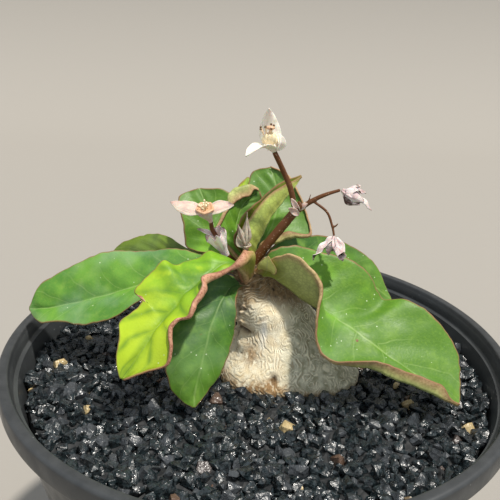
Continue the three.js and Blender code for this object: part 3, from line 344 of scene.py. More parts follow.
# Stalks, each of tubes: [points, radius at the foot, radius at the end]
STALKS = {
    "stalk_main": [
        [[[-2.7, -1.2, 27.4], [-0.9, -1.1, 31.1], [3.8, -1, 37.8], [7.5, -1, 43]], 1.25, 1.05],
        [[[6.3, -1, 41.3], [7.5, -1, 42.9], [8.7, -1, 44]], 1, 1.25],
        [[[7.3, -1, 42], [5.6, -1, 47.9], [3.9, -1, 51.6], [1.5, -2.2, 56.4]], 0.72, 0.6],
        [[[7, -1, 42.2], [11.3, -1, 45.3], [14.2, -1, 46.8], [17.2, -1, 47.9]], 0.68, 0.36],
        [[[11, -1, 45.1], [14.4, -2, 42.8], [15.8, -3, 39.7], [16.3, -4, 37.7]], 0.34, 0.28],
        [[[15.9, -3.1, 39.5], [16.6, -3.3, 39.9], [17.1, -3.5, 40.6]], 0.3, 0.14],
        [[[9.3, -1.3, 43.8], [10, -1.2, 45], [10.5, -1, 46.7]], 0.24, 0.12],
    ],
    "stalk_left": [[[[-5.6, -1.9, 27.6], [-6.9, -3.1, 29.8], [-8.6, -4.3, 32]], 0.9, 0.75]],
    "pedicel_left": [
        [[[-11, -5.9, 37], [-11.9, -6.2, 38.7], [-12.1, -6.5, 39.7], [-12.2, -6.8, 40.9]], 0.55, 0.5],
    ],
    "stalk_buds": [[[[-4.2, -2.7, 28.4], [-4.3, -2.8, 31], [-4.1, -3.7, 33.6]], 0.7, 0.62]],
}
STALK_SIDES = 28
STALK_STEPS = 80
STALK_VOXEL = 0.14
SETTLE_FACTOR = 0.5
SETTLE_ROUNDS = 6
KNOB_HEIGHT = 0.07
KNOB_SIZE = 1.6

# Bracts and scales: a rib, the half width, the direction of the width and the rise of the edges
NODE_SCALES = [
    {"rib": [[7.9, -1.8, 42.7], [6.8, -2, 44.4], [5.9, -1.9, 45.7]], "half": 0.6, "across": (1, 0, 0.8)},
    {"rib": [[8, -1.6, 41.9], [6.6, -2.3, 42.8], [5.4, -2.1, 43.3]], "half": 0.8, "across": (0.2, 0, 1)},
    {"rib": [[8.1, -1.9, 43.2], [9, -2.2, 44.2], [9.8, -1.9, 44.6]], "half": 0.6, "across": (-0.3, 0.3, 1)},
]
TOP_BRACTS = [
    {"rib": [[1.2, -2, 56.8], [0.5, -0.5, 59.6], [0.2, -0.4, 62.4], [-0.2, -1.1, 65.9]], "half": 2.6,
     "across": (1, 0, 0), "cup": -0.35},
    {"rib": [[1.3, -3, 57.2], [-1.2, -5.6, 58], [-3.1, -7.6, 57.8], [-4.8, -9, 56.5]], "half": 2.1,
     "across": (8, -7, 1), "cup": -0.35},
    {"rib": [[1.9, -2.8, 57], [2.6, -3.3, 58.7], [2.3, -3.1, 60.6]], "half": 1.3,
     "across": (0.7, 1, 0), "cup": 0.6},
]
LEFT_BRACTS = [
    {"rib": [[-13.9, -7.6, 43.8], [-16.9, -7.2, 44.4], [-19.2, -6.8, 44.6], [-21.4, -6.6, 45.1]],
     "half": 2.3, "across": (0.1, 0.9, 0.5), "cup": -0.3},
    {"rib": [[-13.2, -7.6, 43.8], [-11.1, -7.2, 44.8], [-9.1, -6.8, 45.1], [-7.1, -6.6, 44.9]],
     "half": 2.1, "across": (0.1, -0.9, -0.5), "cup": -0.3},
]
OLD_STRIP = {"rib": [[-11.4, -6, 37], [-13.2, -6, 37.9], [-15.4, -6.4, 38.9]], "half": 0.7,
             "across": (0, 1, 0.4), "cup": 0.3}
SIDE_WITHERED_BRACTS = [
    {"rib": [[18.6, -1.2, 48.2], [21, -0.8, 48.6], [23.2, -0.5, 47.2]], "half": 1.9, "across": (0, 1, 0.2),
     "faces": (1, 0)},
    {"rib": [[18.4, -1.8, 47.6], [20.6, -2.6, 47.2], [22.6, -2.2, 45.8]], "half": 1.5,
     "across": (0.2, 0.6, 1), "faces": (1, 0)},
    {"rib": [[21, -1.4, 46.4], [23, -1.8, 45.6], [24.8, -2, 43.7]], "half": 0.9, "across": (0, 1, 0.4),
     "faces": (0.8, 0)},
    {"rib": [[18.6, -1.4, 46.8], [20.2, -2.6, 45.6], [21.6, -2.8, 45]], "half": 1.3, "across": (1, 0.3, 0),
     "faces": (1, 1)},
    {"rib": [[20.4, -1, 48], [21.6, -1, 48.9], [21, -1.4, 49.6]], "half": 0.6, "across": (0, 1, 0)},
]
HANGING_WITHERED_BRACTS = [
    {"rib": [[16.3, -4.3, 37.2], [14.6, -5.2, 35.8], [12.8, -5.8, 34], [11.4, -6, 32.4]], "half": 1.7,
     "across": (0.5, 1, 0.6), "faces": (0, 1)},
    {"rib": [[16.3, -4.3, 37.2], [17.2, -5, 35.6], [17.9, -5.6, 33.9], [18.6, -6, 32.2]], "half": 1.6,
     "across": (1, -0.4, 0.5), "faces": (1, 0)},
    {"rib": [[16.3, -4.6, 36.6], [15.8, -5.4, 35], [15.2, -5.4, 33.4]], "half": 1.3, "across": (1, 0.3, 0),
     "faces": (1, 0.3)},
]
BRACT_SPREAD = (-0.4, 0.45)
BRACT_ROWS = 48
HALF_BRACT = 12
BRACT_THICKNESS = 0.24
TIP_WIDTH = 0.08
RUFFLE_SIZE = 1.7
EDGE_FINENESS = 0.45
DARK_TIP = (0.55, 1)

# Round bodies: an axis, how lobed, twisted, creased and dark they are, and a profile
# of [distance along the axis, radius]
TOP_CUP = {"start": (1.5, -2.3, 56.6), "end": (0.4, -3, 59.2),
           "profile": [[0, 0.66], [0.8, 1.15], [1.6, 1.5], [2.5, 1.4]]}
TOP_BELL = {"start": (0.9, -2.8, 58), "end": (-0.5, -3.6, 61.4), "lobe_depth": 0.3, "twist": 0.3,
            "crumple": 0.15, "seed": 5,
            "profile": [[0, 1], [0.8, 1.6], [1.7, 1.75], [2.5, 1.5], [2.9, 1]]}
LEFT_CUP = {"start": (-12.2, -6.8, 40.8), "end": (-13.6, -7.6, 43.9), "dark": -0.6,
            "profile": [[0, 0.52], [0.8, 0.7], [1.8, 1.3], [3.2, 2.1]]}
LEFT_BOWL = {"start": (-13.5, -7.5, 43.7), "end": (-13.7, -8.5, 46), "lobe_depth": 0.12, "crumple": 0.12,
             "profile": [[0, 1.5], [0.5, 2.15], [0.8, 2.2], [0.95, 1.9], [0.6, 1.3], [0.45, 0.5]]}
BRACT_FUNNEL = {"start": (-8.7, -4.3, 31.9), "end": (-11.2, -5.9, 37.6),
                "profile": [[0, 0.75], [1.6, 0.9], [3.4, 1.4], [5.2, 1.9], [6.3, 2.2]]}
BUD_LOOK = {"lobe_depth": 0.3, "twist": 0.5, "crumple": 0.06, "dark": 0.3, "slit": 1}
BUDS = [
    {"start": (-4.1, -4, 34.7), "end": (-4.1, -4.1, 42.6), "lobes": 4, "seed": 0, **BUD_LOOK,
     "profile": [[0, 0.35], [0.8, 0.95], [2, 1.25], [3.4, 1.1], [5, 0.6], [6.6, 0.22], [7.9, 0.05]]},
    {"start": (-4.4, -4.3, 34.5), "end": (-6.2, -5, 40), "lobes": 5, "seed": 1, **BUD_LOOK,
     "profile": [[0, 0.4], [0.8, 1], [1.8, 1.2], [3, 0.95], [4.2, 0.5], [5.8, 0.06]]},
]
BUD_RIM = {"start": (-4.1, -3.8, 33.5), "end": (-4.15, -4, 35), "lobe_depth": 0.1,
           "profile": [[0, 0.62], [0.5, 0.9], [1.05, 1.4], [1.2, 1.25], [0.9, 0.9]]}
BUD_SCALE = {"rib": [[-4.8, -4.8, 34.6], [-6, -5.2, 35.8], [-6.2, -5.2, 37.2]], "half": 0.8,
             "across": (0.5, 0, 1), "cup": 0.4}
SIDE_WITHERED_CORE = {"start": (17.6, -1, 47.9), "end": (22.4, -1.5, 45.4), "lobe_depth": 0.4, "twist": 1.2,
                      "crumple": 0.25, "dark": 1.2, "slit": 0.8,
                      "profile": [[0, 0.4], [0.8, 1.1], [2, 1.7], [3.2, 1.75], [4.2, 1.3], [5.2, 0.5]]}
HANGING_WITHERED_CORE = {"start": (16.25, -4.05, 37.7), "end": (16.4, -4.9, 34.4), "lobe_depth": 0.35,
                         "twist": 1, "crumple": 0.2, "dark": 1.5, "slit": 0.8,
                         "profile": [[0, 0.3], [0.8, 0.9], [2, 1.4], [3, 1.3], [3.5, 0.9]]}
SIDE_SPUR = {"start": (16.9, -4.9, 35.1), "end": (18, -7.85, 34.15), "lobes": 4, "lobe_depth": 0.2,
             "twist": 0.5, "crumple": 0.12, "dark": 2, "dark_from": 0.62,
             "profile": [[0, 0.9], [1.4, 1], [2.8, 1.25], [3.3, 1.2], [2.7, 0.75], [1.8, 0.4]]}
TURNED_SIDES = 64
TURNED_STEPS = 40
LOBE_SHARPNESS = 0.7
SLIT_EDGE = (0.9, 1)
CREASE_SIZE = 1.1
FUNNEL_SIDES = 120
FUNNEL_FOLDS = {"count": 5, "twist": 2, "depth": 0.16, "from": (0.2, 0.9)}
FUNNEL_TEETH = {"count": 3.5, "fine": 8, "fine_share": 0.6, "height": 0.7, "from": (0.6, 1)}
FUNNEL_CREASES = [(0.2, 1.5, 6)]
FUNNEL_DARK_RIM = (0.93, 1)
FUNNEL_DARKNESS = 0.5
BEAD_SIDES = 18
BEAD_STEPS = 12
BEAD_POLE = 0.02
MIDDLE_LOOK = (0.5, 0)
THREAD_RADIUS = 0.13
THREAD_SIDES = 10
THREAD_STEPS = 8
THREAD_BEND = [0.08, -0.05, 0.05]
TOP_GLAND = {"centre": (0.3, -3.7, 62), "radius": 0.75, "stretch": (1.4, 1, 0.6)}
TOP_LUMPS = {"angles": (3.3, 4, 4.6, 5.3, 6), "along": 0.45, "reach": 1.3, "rise": (-0.4, 0.9),
             "radius": (0.5, 0.75), "stretch": (0.8, 0.8, 1.3)}
TOP_THREADS = {"count": 7, "foot": (0.7, 0.7, -1), "tip": (1.5, 1.3), "rise": (0.2, 1.2), "bead": 0.26}
LEFT_THREADS = {"count": 10, "turn": 0.2, "reach": (0.2, 1.1), "foot": (0.4, 0.6), "rise": (1.3, 2.1),
                "spread": 1.3, "bead": 0.24}
LUMP_TONE = 0.8
THREAD_TONES = (0.6, 1)
BEAD_TONES = (2.2, 1.6)

# Colours: red, green and blue, or the two between which a colour clouds
VEIN = (0.42, 0.56, 0.2)
LEAF_WAX = (0.22, 0.33, 0.24)
LEAF_SPECK = (0.66, 0.76, 0.52)
LEAF_SPOT = (0.16, 0.07, 0.02)
LEAF_MARGIN = (0.26, 0.115, 0.065)
UNDER_BY_RIB = (0.42, 0.46, 0.1)
UNDER_AT_FOOT = (0.22, 0.27, 0.02)
UNDER_VEIN = (0.5, 0.54, 0.22)
UNDER_FLUSH = [(0.52, 0.26, 0.17), (0.32, 0.12, 0.08)]
BARK_CREAM = [(0.9, 0.76, 0.5), (0.98, 0.91, 0.7)]
BARK_TAN = (0.76, 0.58, 0.34)
# painted shade: grey of the caudex's right side, which lies in shade
BARK_SHADED_SIDE = [(0.36, 0.34, 0.22), (0.72, 0.69, 0.52)]
# painted shade of the crown under the leaves
CROWN_PAINTED_SHADE = [(0.03, 0.02, 0.008), (0.16, 0.11, 0.05)]
BARK_STREAK = (0.97, 0.93, 0.82)
BARK_RIDGE = (0.98, 0.91, 0.7)
BARK_CRACK = [(0.16, 0.095, 0.045), (0.52, 0.36, 0.18)]
BARK_RUST = [(0.16, 0.085, 0.035), (0.6, 0.38, 0.18)]
# painted shade in the pits and the notch
PIT_PAINTED_SHADE = (0.05, 0.03, 0.015)
GRIT_BLACK = [(0.0015, 0.003, 0.004), (0.016, 0.026, 0.03)]
GRIT_TONES = [[(0.7, 0.95), (0.045, 0.05, 0.056)], [(0.984, 0.986), (0.1, 0.06, 0.04)],
              [(0.991, 0.992), (0.5, 0.38, 0.19)]]
# near black soil under the grit: its own black, and painted shade in the gaps between the grains
SOIL_BLACK = [(0.006, 0.007, 0.008), (0.02, 0.022, 0.024)]
PLASTIC = (0.012, 0.014, 0.016)
PLASTIC_DUST = (0.1, 0.108, 0.11)
PLASTIC_SPECK = (0.3, 0.31, 0.3)
# lighter rim top: partly wear, partly a painted sheen
RIM_WEAR_AND_SHEEN = (0.13, 0.135, 0.14)
STALK_RED = [(0.08, 0.028, 0.007), (0.16, 0.06, 0.02)]
STALK_SPECK = (0.5, 0.35, 0.24)
FLORET_PEACH = [(0.58, 0.29, 0.14), (0.78, 0.52, 0.34)]
FLORET_YELLOW = [(0.7, 0.56, 0.3), (0.94, 0.87, 0.64)]
FLORET_TIP = (0.14, 0.07, 0.025)
BACKDROP_PAINT = (0.322, 0.301, 0.272, 1)
BACKDROP_ROUGHNESS = 0.9

# Stage, in metres
BACKDROP_SIDE = 3
BACKDROP_FRONT = -2.5
BACKDROP_BACK = 0.7
BACKDROP_BEND = 0.45
BACKDROP_HEIGHT = 1.6
BACKDROP_FIRST_TURN = 0.1
BACKDROP_STEPS = 24

# Camera and light
CAMERA_PLACE = (-3.12, -136.02, 170.54)
CAMERA_PITCH = 20.83
CAMERA_ROLL = 2.31
LENS = 43.2
SENSOR_WIDTH = 36
LIGHT_FROM = (0.3, -0.2, 1)
KEY_STRENGTH = 4.1
KEY_SOFTNESS = 3.5
KEY_COLOUR = (1, 0.95, 0.87)
SKY_STRENGTH = 0.7
SKY_COLOUR = (0.86, 0.93, 1, 1)


# Numbers and curves

def unit(vectors):
    return vectors / np.linalg.norm(vectors, axis=-1, keepdims=True)


def lerp(a, b, t):
    return a + (b - a) * t


def smooth(x, low, high):
    """0 below low, 1 above high, and an even ease between."""
    t = np.clip((x - low) / (high - low), 0, 1)
    return t * t * (3 - 2 * t)


def eased(table, places):
    """Values read from a table of [place, value], easing from each place to the next."""
    return table[0][1] + sum((b - a) * smooth(places, start, end)
                             for (start, a), (end, b) in zip(table, table[1:]))


def spline(points, shares):
    """Points of a smooth curve through the given ones, at shares from 0 to 1 of the way."""
    knots = np.array(points, float)
    knots = np.vstack([2 * knots[0] - knots[1], knots, 2 * knots[-1] - knots[-2]])
    place = np.clip(shares, 0, 1) * (len(points) - 1)
    step = np.minimum(place.astype(int), len(points) - 2)
    t = (place - step)[:, None]
    before, a, b, after = (knots[step + k] for k in range(4))
    bend_a = (b - before) / 2
    bend_b = (after - a) / 2
    ease = 3 * t**2 - 2 * t**3
    return a + (b - a) * ease + bend_a * (t**3 - 2 * t**2 + t) + bend_b * (t**3 - t**2)


def full_turn(count):
    """Angles evenly round a circle, without the first one again at the end."""
    return np.linspace(0, 2 * math.pi, count, endpoint=False)


def across_path(centres):
    """Two directions across a path at each of its points."""
    along = unit(np.gradient(centres, axis=0))
    spare = np.eye(3)[np.argmin(np.abs(along).max(axis=0))]
    side = unit(np.cross(spare, along))
    return side, np.cross(along, side)


def straight_axis(start, end):
    """The direction from start to end, and two directions across it."""
    axis = unit(np.subtract(end, start))
    side, up = (d[0] for d in across_path(np.stack([start, start + axis])))
    return axis, side, up


def circled(side, up, angle):
    """Directions at each angle round an axis, or round each point of a path."""
    return side[..., None, :] * np.cos(angle)[:, None] + up[..., None, :] * np.sin(angle)[:, None]


def noise_at(points, size, seed=0):
    """Smooth noise from about -1 to 1 at each point; size is its wavelength in mm."""
    flat = points.reshape(-1, 3) / size + NOISE_SHIFT * seed
    return np.array([noise.noise(p) for p in flat.tolist()]).reshape(points.shape[:-1])


def layered(points, layers, base=0):
    """Noises added to a base, each given as [height, wavelength, seed]."""
    return sum((height * noise_at(points, size, seed) for height, size, seed in layers), base)


# Meshes

def ring_faces(rings, sides):
    """Quads between closed rings of points, and one cap at each end."""
    k = np.arange(sides)
    start = np.arange(rings - 1)[:, None] * sides
    after = (k + 1) % sides
    quads = np.stack([start + k, start + after, start + sides + after, start + sides + k], -1)
    last = (rings - 1) * sides + k
    return [*quads.reshape(-1, 4).tolist(), k[::-1].tolist(), last.tolist()]


def link(name, data):
    """A new object of the scene."""
    obj = bpy.data.objects.new(name, data)
    bpy.context.scene.collection.objects.link(obj)
    return obj


def apply_modifiers(obj, *modifiers):
    with bpy.context.temp_override(object=obj, active_object=obj):
        for modifier in modifiers:
            bpy.ops.object.modifier_apply(modifier=modifier.name)


def add_piece(name, points, faces, finish, nodes=(), values=None, smooth_faces=True):
    """One mesh piece that stands for CAD nodes, with its finish and its named point values."""
    mesh = bpy.data.meshes.new(name)
    lifted = np.asarray(points, float).reshape(-1, 3) + [0, 0, SOIL_LEVEL]
    mesh.from_pydata((lifted * MM).tolist(), [], faces)
    for key, value in (values or {}).items():
        kind, field = ("FLOAT_VECTOR", "vector") if value.shape[-1:] == (3,) else ("FLOAT", "value")
        mesh.attributes.new(key, kind, "POINT").data.foreach_set(field, value.astype(np.float32).ravel())
    solid = bmesh.new()
    solid.from_mesh(mesh)
    bmesh.ops.recalc_face_normals(solid, faces=solid.faces)
    solid.to_mesh(mesh)
    solid.free()
    if smooth_faces:
        mesh.shade_smooth()
    mesh.materials.append(finish)
    obj = link(name, mesh)
    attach(obj, "root")
    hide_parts(*nodes)
    return obj


def add_rings(name, rings, finish, node, values):
    """A piece that is one body of closed rings."""
    return add_piece(name, rings, ring_faces(*rings.shape[:2]), finish, [node], values)


# Materials

class Shader:
    """A node material under construction; each call returns the socket that it makes."""

    def __init__(self, name):
        self.material = bpy.data.materials.new(name)
        self.material.use_nodes = True
        self.tree = self.material.node_tree
        self.surface = self.tree.nodes["Principled BSDF"]
        self.place = self.node("TexCoord").outputs["Object"]

    def node(self, kind, inputs=(), **settings):
        made = self.tree.nodes.new("ShaderNode" + kind)
        for key, value in settings.items():
            setattr(made, key, value)
        for key, value in dict(inputs).items():
            self.feed(made, key, value)
        return made

    def feed(self, node, key, value):
        if isinstance(value, bpy.types.NodeSocket):
            self.tree.links.new(value, node.inputs[key])
        else:
            node.inputs[key].default_value = value

    def math(self, operation, *values):
        return self.node("Math", enumerate(values), operation=operation).outputs[0]

    def times(self, a, b):
        return self.math("MULTIPLY", a, b)

    def plus(self, a, b):
        return self.math("ADD", a, b)

    def most(self, a, b):
        return self.math("MAXIMUM", a, b)

    def mix(self, share, a, b):
        """Colour a turning into b as share goes from 0 to 1."""
        rgba = [x if isinstance(x, bpy.types.NodeSocket) else (*x, 1) for x in (a, b)]
        return self.node("Mix", {0: share, 6: rgba[0], 7: rgba[1]}, data_type="RGBA").outputs[2]

    def step(self, value, low, high, bottom=0.0, top=1.0):
        """bottom below low, top above high, and a soft step between."""
        inputs = {0: value, 1: low, 2: high, 3: bottom, 4: top}
        return self.node("MapRange", inputs, interpolation_type="SMOOTHSTEP").outputs[0]

    def fade(self, value, low, high, top=1.0):
        """top below low, 0 above high, and a soft step between."""
        return self.step(value, low, high, top, 0.0)

    def noise(self, size, detail=3.0, roughness=0.55):
        """Cloudy noise from 0 to 1; size is its wavelength in mm."""
        inputs = {"Vector": self.place, "Scale": 1 / (size * MM), "Detail": detail, "Roughness": roughness}
        return self.node("TexNoise", inputs).outputs["Fac"]

    def patches(self, size, detail, low, high, top=1.0, bottom=0.0):
        """Cloudy patches of about size mm: bottom where the noise is below low, top above high."""
        return self.step(self.noise(size, detail), low, high, bottom, top)

    def cells(self, size, feature="F1"):
        """Cells of about size mm: the distance from their middles or edges, in cells."""
        inputs = {"Vector": self.place, "Scale": 1 / (size * MM)}
        return self.node("TexVoronoi", inputs, feature=feature).outputs["Distance"]

    def dots(self, spacing, radii, group, edge, top=1.0):
        """Soft dots about spacing mm apart, in cloudy groups; the radii are shares of the spacing."""
        return self.times(self.fade(self.cells(spacing), *radii, top), self.patches(group, 3, *edge))

    def value(self, name, axis=None):
        """A named point value of the mesh, or one axis of it."""
        made = self.node("Attribute", attribute_name=name)
        if axis is None:
            return made.outputs["Fac"]
        return self.node("SeparateXYZ", {0: made.outputs["Vector"]}).outputs[axis]

    def bump(self, height, depth):
        """A normal tilted by a height from 0 to 1 that stands for depth mm."""
        return self.node("Bump", {"Height": height, "Distance": depth * MM}).outputs["Normal"]

    def finish(self, colour, roughness, normal=None, **sockets):
        self.feed(self.surface, "Base Color", colour)
        self.feed(self.surface, "Roughness", roughness)
        if normal:
            self.feed(self.surface, "Normal", normal)
        for key, value in sockets.items():
            self.feed(self.surface, key.replace("_", " "), value)
        return self.material


def leaf_green(s, deep, bright, pale, patches, yellowing, tip_shade):
    """Cloudy green with pale patches, which pales or deepens towards the tip."""
    green = s.mix(s.patches(9, 2.5, 0.38, 0.66), deep, bright)
    tipward = s.plus(s.value("blade", 0), s.times(s.noise(5, 2), 0.4))
    green = s.mix(s.step(tipward, 0.55, 1, 0, yellowing), green, pale)
    green = s.mix(s.step(tipward, 0.5, 0.85, 0, tip_shade), green, deep)
    green = s.mix(s.patches(3.5, 2, 0.5, 0.72, patches), green, pale)
    return s.mix(s.patches(0.6, 2, 0.45, 0.75, 0.14), green, pale)


def leaf_underside(s, under, flush, across, veins, edge):
    """Pale green, yellower by the rib and the foot, with a net, pale veins and a stippled margin."""
    dull, clear, netted = (tuple(share * c for c in under) for share in (0.75, 1.3, 0.6))
    below = s.mix(s.patches(4, 3, 0.35, 0.65), dull, clear)
    below = s.mix(s.fade(across, 0.5, 5, 0.5), below, UNDER_BY_RIB)
    below = s.mix(s.fade(s.value("blade", 0), 0.05, 0.3, 0.85), below, UNDER_AT_FOOT)
    below = s.mix(s.fade(s.cells(1.1, "DISTANCE_TO_EDGE"), 0, 0.2, 0.4), below, netted)
    below = s.mix(s.times(veins, 0.55), below, UNDER_VEIN)
    share, reach = flush
    stippled = s.mix(s.patches(0.55, 2, 0.45, 0.62), *UNDER_FLUSH)
    return s.mix(s.fade(edge, 0.4, 0.4 + reach, share), below, stippled)


def leaf_finish(name, deep, bright, pale, under, bloom=0.1, patches=0.15, yellowing=0.0, dark_veins=0.0,
                tip_shade=0.0, vein_share=0.4, flush=(0.5, 2)):
    """Waxy leaf: cloudy green, faint veins, specks, a thin reddish margin and a pale underside."""
    s = Shader(name)
    across = s.math("ABSOLUTE", s.value("blade", 1))
    phase = s.plus(s.value("blade", 2), s.times(s.noise(7, 1), 0.5))
    away = s.math("ABSOLUTE", s.math("SUBTRACT", s.math("FRACT", phase), 0.5))
    side_veins = s.times(s.fade(away, 0.01, 0.04), s.step(across, 3, 9, 0.6, 0.1))
    rib_and_veins = s.most(side_veins, s.fade(across, 0.08, 0.34))
    veins = s.times(rib_and_veins, s.patches(2.2, 3, 0.3, 0.6, 1, 0.5))
    broad = s.times(s.most(s.fade(away, 0, 0.24), s.fade(across, 0.2, 2)), s.patches(4, 2, 0.35, 0.6, 1, 0.4))
    green = leaf_green(s, deep, bright, pale, patches, yellowing, tip_shade)
    green = s.mix(s.times(broad, dark_veins), green, deep)
    green = s.mix(s.times(veins, vein_share), green, VEIN)
    green = s.mix(s.times(veins, 0.4 * dark_veins), green, tuple(0.5 * c for c in deep))
    green = s.mix(s.patches(14, 3, 0.45, 0.66, bloom), green, LEAF_WAX)
    green = s.mix(s.dots(2, (0.05, 0.1), 5, (0.46, 0.56), 0.75), green, LEAF_SPECK)
    green = s.mix(s.dots(6, (0.05, 0.08), 11, (0.55, 0.6)), green, LEAF_SPOT)
    edge = s.plus(s.value("margin"), s.times(s.noise(2.5), 0.5))
    below = leaf_underside(s, under, flush, across, rib_and_veins, edge)
    skin = s.mix(s.value("top"), below, green)
    skin = s.mix(s.fade(edge, 0.22, 0.55, 0.75), skin, LEAF_MARGIN)
    normal = s.bump(s.plus(s.times(veins, -0.3), s.noise(0.5)), 0.05)
    return s.finish(skin, s.patches(4, 3, 0.3, 0.7, 0.6, 0.42), normal, Specular_IOR_Level=0.33)


def bark_finish():
    """Cream bark with pale worm-like ridges, brown cracks and rusty stains, and painted shade: a dark crown,
    dark pits and a grey right side.
    """
    s = Shader("bark")
    wrinkle, crown = s.value("wrinkle"), s.value("crown")
    cream = s.mix(s.patches(2.5, 3, 0.3, 0.7), *BARK_CREAM)
    cream = s.mix(s.patches(4, 4, 0.52, 0.66, 0.4), cream, BARK_TAN)
    # painted shade: the right side, which lies in shade, is turned grey
    cream = s.mix(s.value("shaded_side"), cream, s.mix(s.patches(1.6, 3, 0.3, 0.7), *BARK_SHADED_SIDE))
    # painted shade: the crown under the leaves is turned dark brown, and its ridges fade
    cream = s.mix(crown, cream, s.mix(s.patches(0.9, 4, 0.35, 0.65), *CROWN_PAINTED_SHADE))
    cream = s.mix(s.value("pale"), cream, BARK_STREAK)
    ridge = s.times(s.step(wrinkle, 0.2, 0.85, 0, 0.75), s.step(crown, 0, 1, 1, 0.2))
    skin = s.mix(ridge, cream, BARK_RIDGE)
    skin = s.mix(s.fade(wrinkle, -0.95, -0.4, 0.5), skin, s.mix(s.noise(1.5), *BARK_CRACK))
    # rusty stains, which are painted shade at the crown, in the pits and under the neck's ring
    stain_and_shade = s.times(s.value("rust_and_shade"), s.patches(1.3, 4, 0.32, 0.52))
    skin = s.mix(stain_and_shade, skin, s.mix(s.noise(0.8), *BARK_RUST))
    # painted shade: the pits and the notch are painted near black
    skin = s.mix(s.value("pit"), skin, PIT_PAINTED_SHADE)
    fibres = s.noise(0.35, 4, 0.6)
    return s.finish(skin, s.step(fibres, 0.3, 0.7, 0.62, 0.85), s.bump(fibres, 0.12), Specular_IOR_Level=0.3)


def grit_finish():
    """Glossy black lava with small broken facets, and a few brown and tan chips."""
    s = Shader("grit")
    stone = s.mix(s.patches(0.8, 3, 0.35, 0.65), *GRIT_BLACK)
    for tones, colour in GRIT_TONES:
        stone = s.mix(s.step(s.value("tone"), *tones), stone, colour)
    facets = s.plus(s.times(s.noise(0.55, 2), 0.7), s.times(s.cells(1.5), 1.2))
    rough = s.patches(1.1, 3, 0.38, 0.62, 0.42, 0.2)
    return s.finish(stone, rough, s.bump(facets, 0.28), Specular_IOR_Level=0.78)


def pot_finish():
    """Black moulded plastic with a soft sheen, dusty and lightly scratched inside; its rim top is lighter,
    partly from wear and partly as a painted sheen.
    """
    s = Shader("pot")
    rim = s.value("rim")
    dust = s.times(s.patches(9, 4, 0.3, 0.8, 0.46, 0.22), s.step(rim, 0.2, 0.6, 1, 0.25))
    plastic = s.mix(dust, PLASTIC, PLASTIC_DUST)
    plastic = s.mix(s.dots(2.4, (0.04, 0.09), 8, (0.45, 0.6), 0.6), plastic, PLASTIC_SPECK)
    # The rim top is lighter: partly wear, partly a painted sheen.
    plastic = s.mix(s.times(rim, s.patches(3, 3, 0.3, 0.7, 0.225, 0.105)), plastic, RIM_WEAR_AND_SHEEN)
    return s.finish(plastic, s.patches(5, 3, 0.3, 0.7, 0.5, 0.36), s.bump(s.noise(0.5, 2), 0.02))


def soil_finish():
    # The soil under the grit is near black: partly its own colour, partly painted shade in the gaps between
    # the grains.
    s = Shader("deep_soil")
    return s.finish(s.mix(s.noise(1.5), *SOIL_BLACK), 0.7, s.bump(s.cells(1.6), 0.6))


def stalk_finish():
    s = Shader("stalk")
    skin = s.mix(s.noise(2.5), *STALK_RED)
    skin = s.mix(s.dots(0.6, (0.12, 0.26), 3, (0.48, 0.6), 0.7), skin, STALK_SPECK)
    return s.finish(skin, 0.45, s.bump(s.noise(0.4), 0.05), Specular_IOR_Level=0.3)


def petal_finish(name, pale, blush, dark, streak=0.35):
    """Thin papery skin: a pale margin, a blush, fine lengthwise streaks and dark ends."""
    s = Shader(name)
    along, across, darkness = (s.value("look", axis) for axis in range(3))
    lines = s.node("CombineXYZ", {0: s.times(along, 1.5), 1: s.times(across, 9)})
    streaks = s.node("TexNoise", {"Vector": lines.outputs[0], "Scale": 1, "Detail": 3}).outputs["Fac"]
    inner = s.fade(s.math("ABSOLUTE", across), 0.55, 0.95)
    skin = s.mix(s.times(inner, s.patches(2.2, 3, 0.3, 0.7, 1, 0.25)), pale, blush)
    skin = s.mix(s.step(streaks, 0.5, 0.72, 0, streak), skin, tuple(0.55 * c for c in blush))
    skin = s.mix(s.times(darkness, s.patches(1.1, 3, 0.25, 0.6)), skin, dark)
    normal = s.bump(s.plus(streaks, s.noise(0.5)), 0.12)
    return s.finish(skin, 0.6, normal, Subsurface_Weight=0.15, Subsurface_Scale=0.001)


def floret_finish():
    """Peach glands, cream-yellow lumps and threads, and brown tips, by the tone of each shape."""
    s = Shader("floret")
    tone = s.value("look", 2)
    peach = s.mix(s.noise(1.2), *FLORET_PEACH)
    yellow = s.mix(s.noise(0.8), *FLORET_YELLOW)
    skin = s.mix(s.step(tone, 0.3, 0.9), peach, yellow)
    skin = s.mix(s.step(tone, 1.9, 2.1), skin, FLORET_TIP)
    return s.finish(skin, 0.45, s.bump(s.noise(0.5), 0.14))


# Sheets and round bodies

def grid_normals(points):
    down = np.gradient(points, axis=0)
    across = np.gradient(points, axis=1)
    return unit(np.cross(across, down))


def shell(points, over, under):
    """Closed rings round a sheet, over it and back under it, with rounded side edges."""
    rim = np.linalg.norm(over - under, axis=-1, keepdims=True) / 2
    far = points[:, :1] - unit(points[:, 1:2] - points[:, :1]) * rim[:, :1]
    near = points[:, -1:] + unit(points[:, -1:] - points[:, -2:-1]) * rim[:, -1:]
    return np.concatenate([points + over, near, (points + under)[:, ::-1], far], axis=1)


def round_sheet(values, under=None):
    """Point values of a sheet in the order that shell gives its points."""
    back = values if under is None else under
    return np.concatenate([values, values[:, -1:], back[:, ::-1], values[:, :1]], axis=1)


def stacked(*values):
    """Values of one grid side by side, spread over the grid where they vary along one of its ways."""
    return np.stack(np.broadcast_arrays(*values), axis=-1)


def tube(path, foot_radius, end_radius, seed=0):
    """A knobbly round stalk along a path as closed rings, with no looks of its own."""
    t = np.linspace(0, 1, STALK_STEPS + 1)
    centres = spline(path, t)
    out = circled(*across_path(centres), full_turn(STALK_SIDES))
    radius = lerp(foot_radius, end_radius, t)[:, None]
    knobs = 1 + KNOB_HEIGHT * noise_at(centres[:, None] + out * radius[..., None], KNOB_SIZE, seed)
    points = centres[:, None] + out * (radius * knobs)[..., None]
    return points, np.zeros_like(points)


